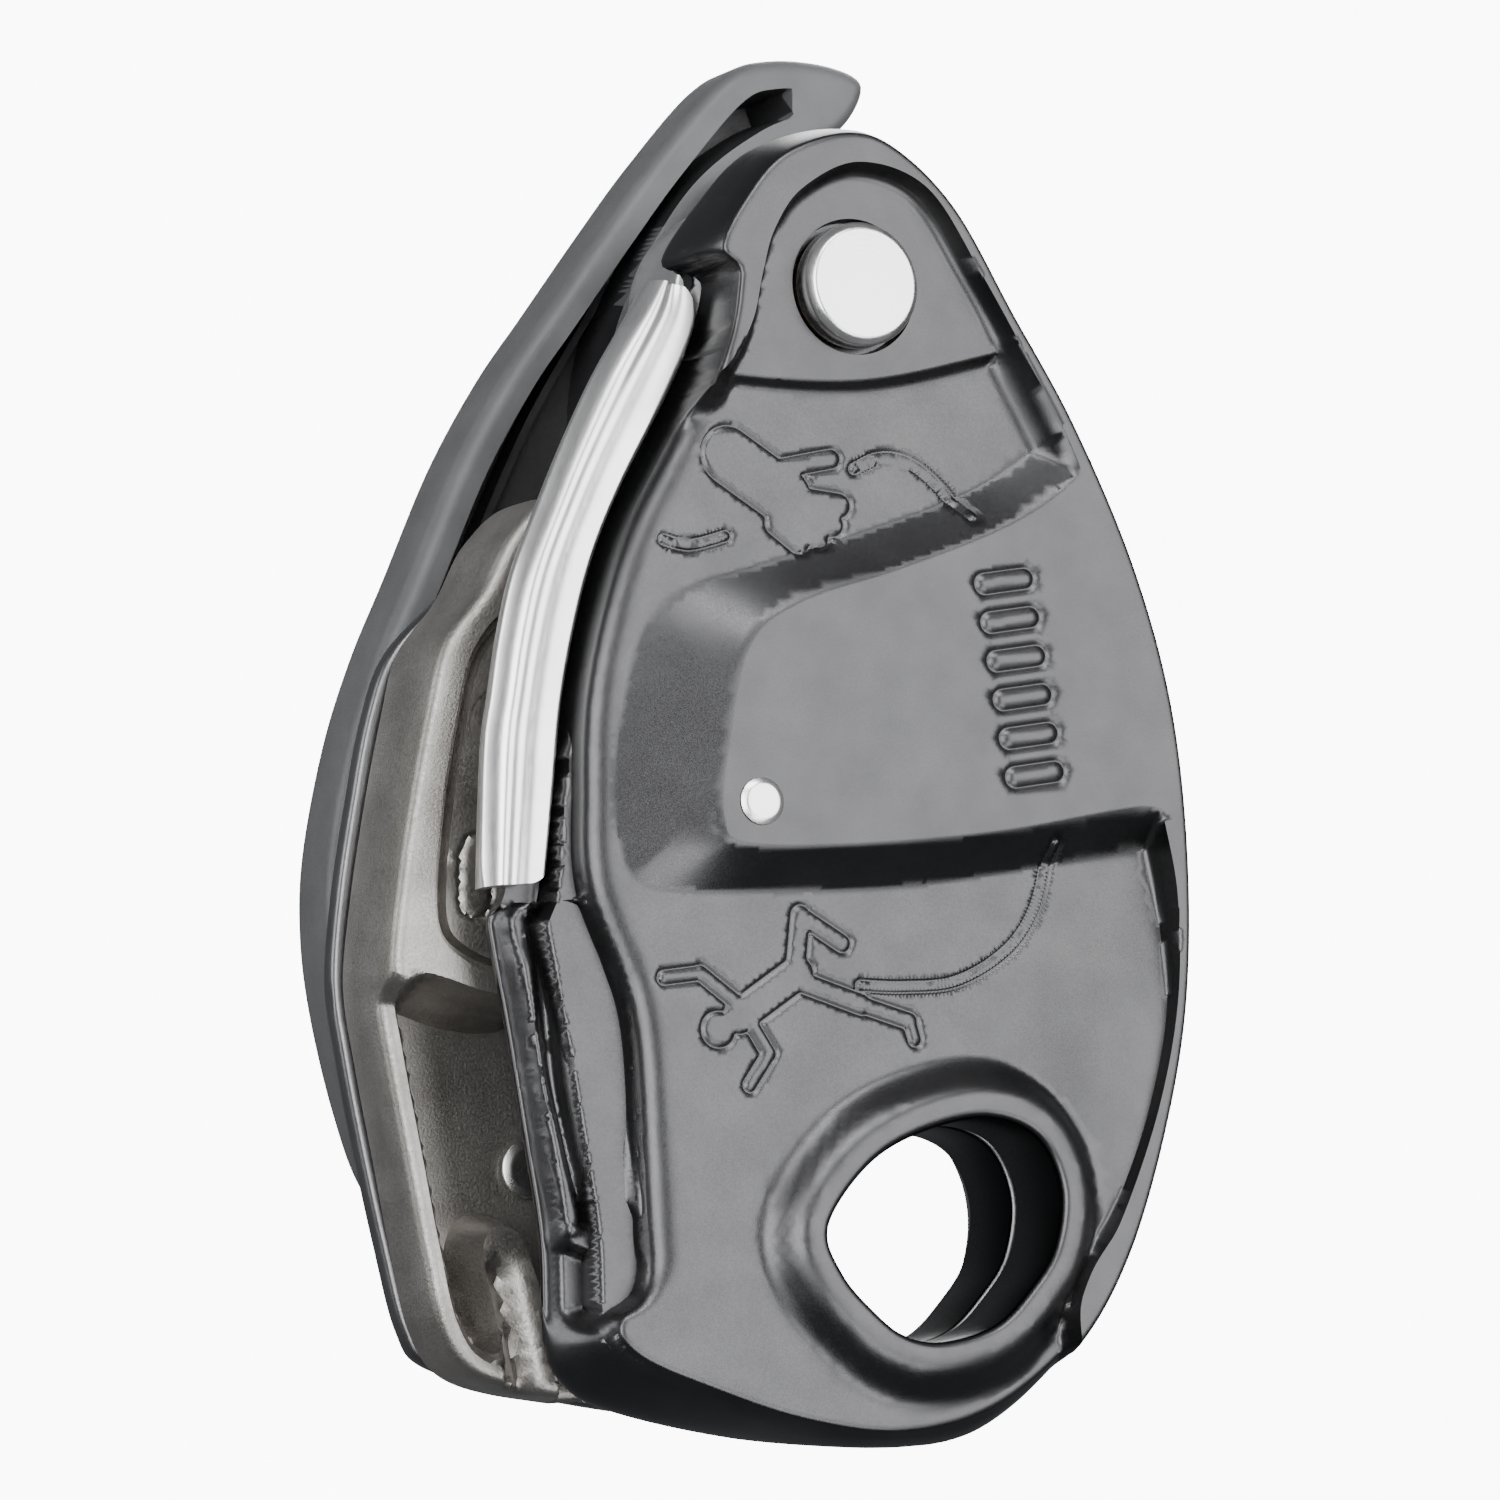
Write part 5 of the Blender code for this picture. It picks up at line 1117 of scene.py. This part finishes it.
RING_PITCH = 0.42  # between the rings of a facing cut
LOOKS = {
    "charcoal": grained("anodised_charcoal", (0.066, 0.066, 0.068), (0.078, 0.078, 0.080),
                        (0.30, 0.40), 1.0, 7.0, 0.004),
    # painted shade: a near-black copy of the charcoal anodising, for the faces lining the carabiner eye
    "bore": grained("painted_shade_charcoal", (0.012, 0.012, 0.013), (0.018, 0.018, 0.019),
                    (0.36, 0.46), 1.0, 7.0, 0.004),
    "polished": grained("polished_steel", (0.70, 0.70, 0.69), (0.82, 0.82, 0.81),
                        (0.28, 0.36), 1.0, 1.6, 0.0006, stretch=(5, 5, 0.6)),
    "turned": turned_finish("turned_steel", (0.82, 0.82, 0.81), 0.3),
    "faced": turned_finish("faced_steel", (0.82, 0.82, 0.81), 0.3, MAIN_PIVOT),
    "blasted": grained("blasted_steel", (0.26, 0.245, 0.23), (0.36, 0.345, 0.325),
                       (0.40, 0.56), 1.0, 4.5, 0.03),
    "alloy": grained("anodised_alloy", (0.15, 0.15, 0.155), (0.19, 0.19, 0.195),
                     (0.34, 0.44), 1.0, 6.0, 0.005),
    "steel": grained("machined_steel", (0.48, 0.48, 0.48), (0.60, 0.60, 0.60),
                     (0.24, 0.36), 1.0, 3.0, 0.004),
    "bronze": grained("bearing_bronze", (0.46, 0.31, 0.16), (0.56, 0.39, 0.21),
                      (0.34, 0.46), 1.0, 5.0, 0.004),
    "nylon": grained("grey_nylon", (0.070, 0.072, 0.075), (0.088, 0.090, 0.093),
                     (0.42, 0.55), 0.0, 6.0, 0.012),
    # black plastic of the selector knob and hub cap; on the handle's hollow the same colour is painted
    # shade
    "dark": grained("black_plastic", (0.012, 0.012, 0.013), (0.018, 0.018, 0.02),
                    (0.40, 0.55), 0.0, 6.0, 0.01),
}


# ---------------------------------------------------------------- the studio

def add_light(name, at, aim, size, power):
    """A soft rectangular light, its place and size in metres."""
    data = bpy.data.lights.new(name, "AREA")
    data.shape, data.size, data.size_y = "RECTANGLE", size[0], size[1]
    data.energy = power
    obj = bpy.data.objects.new(name, data)
    bpy.context.scene.collection.objects.link(obj)
    obj.location = at
    obj.rotation_euler = (Vector(aim) - Vector(at)).to_track_quat("-Z", "Y").to_euler()


def make_studio():
    """Camera, lights, floor and backdrop."""
    right, up = Vector((0.89107, -0.44515, -0.08854)), Vector((0.03900, -0.11925, 0.99210))
    back = Vector((-0.45219, -0.88748, -0.08889))
    target = Vector((-10.39, 4.93, 36.58)) * MM
    data = bpy.data.cameras.new("camera")
    data.lens, data.sensor_width, data.clip_start = 212.0, 36.0, 0.01
    camera = bpy.data.objects.new("camera", data)
    turn = Matrix((right, up, back)).transposed().to_4x4()
    camera.matrix_world = Matrix.Translation(target + back * 0.65) @ turn
    bpy.context.scene.collection.objects.link(camera)
    bpy.context.scene.camera = camera

    world = bpy.data.worlds.new("studio")
    world.use_nodes = True
    background = world.node_tree.nodes["Background"]
    background.inputs["Color"].default_value = (0.92, 0.95, 1.0, 1)
    background.inputs["Strength"].default_value = 0.18
    bpy.context.scene.world = world

    middle = (-0.005, 0.01, 0.035)
    add_light("key", (0.44, -0.84, 0.12), middle, (0.9, 0.8), 12)
    add_light("strip", (-0.60, -0.72, 0.12), middle, (0.5, 0.9), 12)
    add_light("top", (-0.05, -0.62, 0.72), middle, (0.6, 0.3), 6)
    add_light("left", (-0.85, 0.25, 0.30), middle, (0.25, 0.7), 4)
    add_light("low", (0.1, -0.75, -0.45), middle, (0.6, 0.35), 4)
    add_light("back", (0.5, 0.55, 0.5), middle, (0.5, 0.5), 6)
    backdrop()


def backdrop():
    """A pale floor that sweeps up into a pale wall, well behind the device."""
    floor, wall, radius, wide = -0.12, 1.4, 0.8, 3.5
    profile = [(-2.5, floor), (wall - radius, floor)]
    profile += [(wall - radius + radius * sin(a), floor + radius - radius * cos(a))
                for a in np.linspace(0, pi / 2, 24)]
    profile += [(wall, 3.0)]
    verts = [(x, y, z) for y, z in profile for x in (-wide, wide)]
    faces = [(2 * i, 2 * i + 1, 2 * i + 3, 2 * i + 2) for i in range(len(profile) - 1)]
    mesh = bpy.data.meshes.new("backdrop")
    mesh.from_pydata(verts, [], faces)
    mesh.shade_smooth()
    made, nodes, links, shader = node_tree("backdrop", (0.9, 0.9, 0.9), 0.9, 0)
    soft = noise(nodes, links, 0.004, detail=2)
    pale = tint(nodes, links, soft, (0.88, 0.88, 0.88), (0.92, 0.92, 0.92))
    links.new(pale, shader.inputs["Base Color"])
    links.new(pale, shader.inputs["Emission Color"])
    shader.inputs["Emission Strength"].default_value = 11.0
    mesh.materials.append(made)
    obj = bpy.data.objects.new("backdrop", mesh)
    bpy.context.scene.collection.objects.link(obj)
    obj.visible_glossy, obj.visible_diffuse = False, False


make_swinging_plate()
make_fixed_side()
make_cam()
make_handle()
make_pawl()
make_selector()
make_studio()
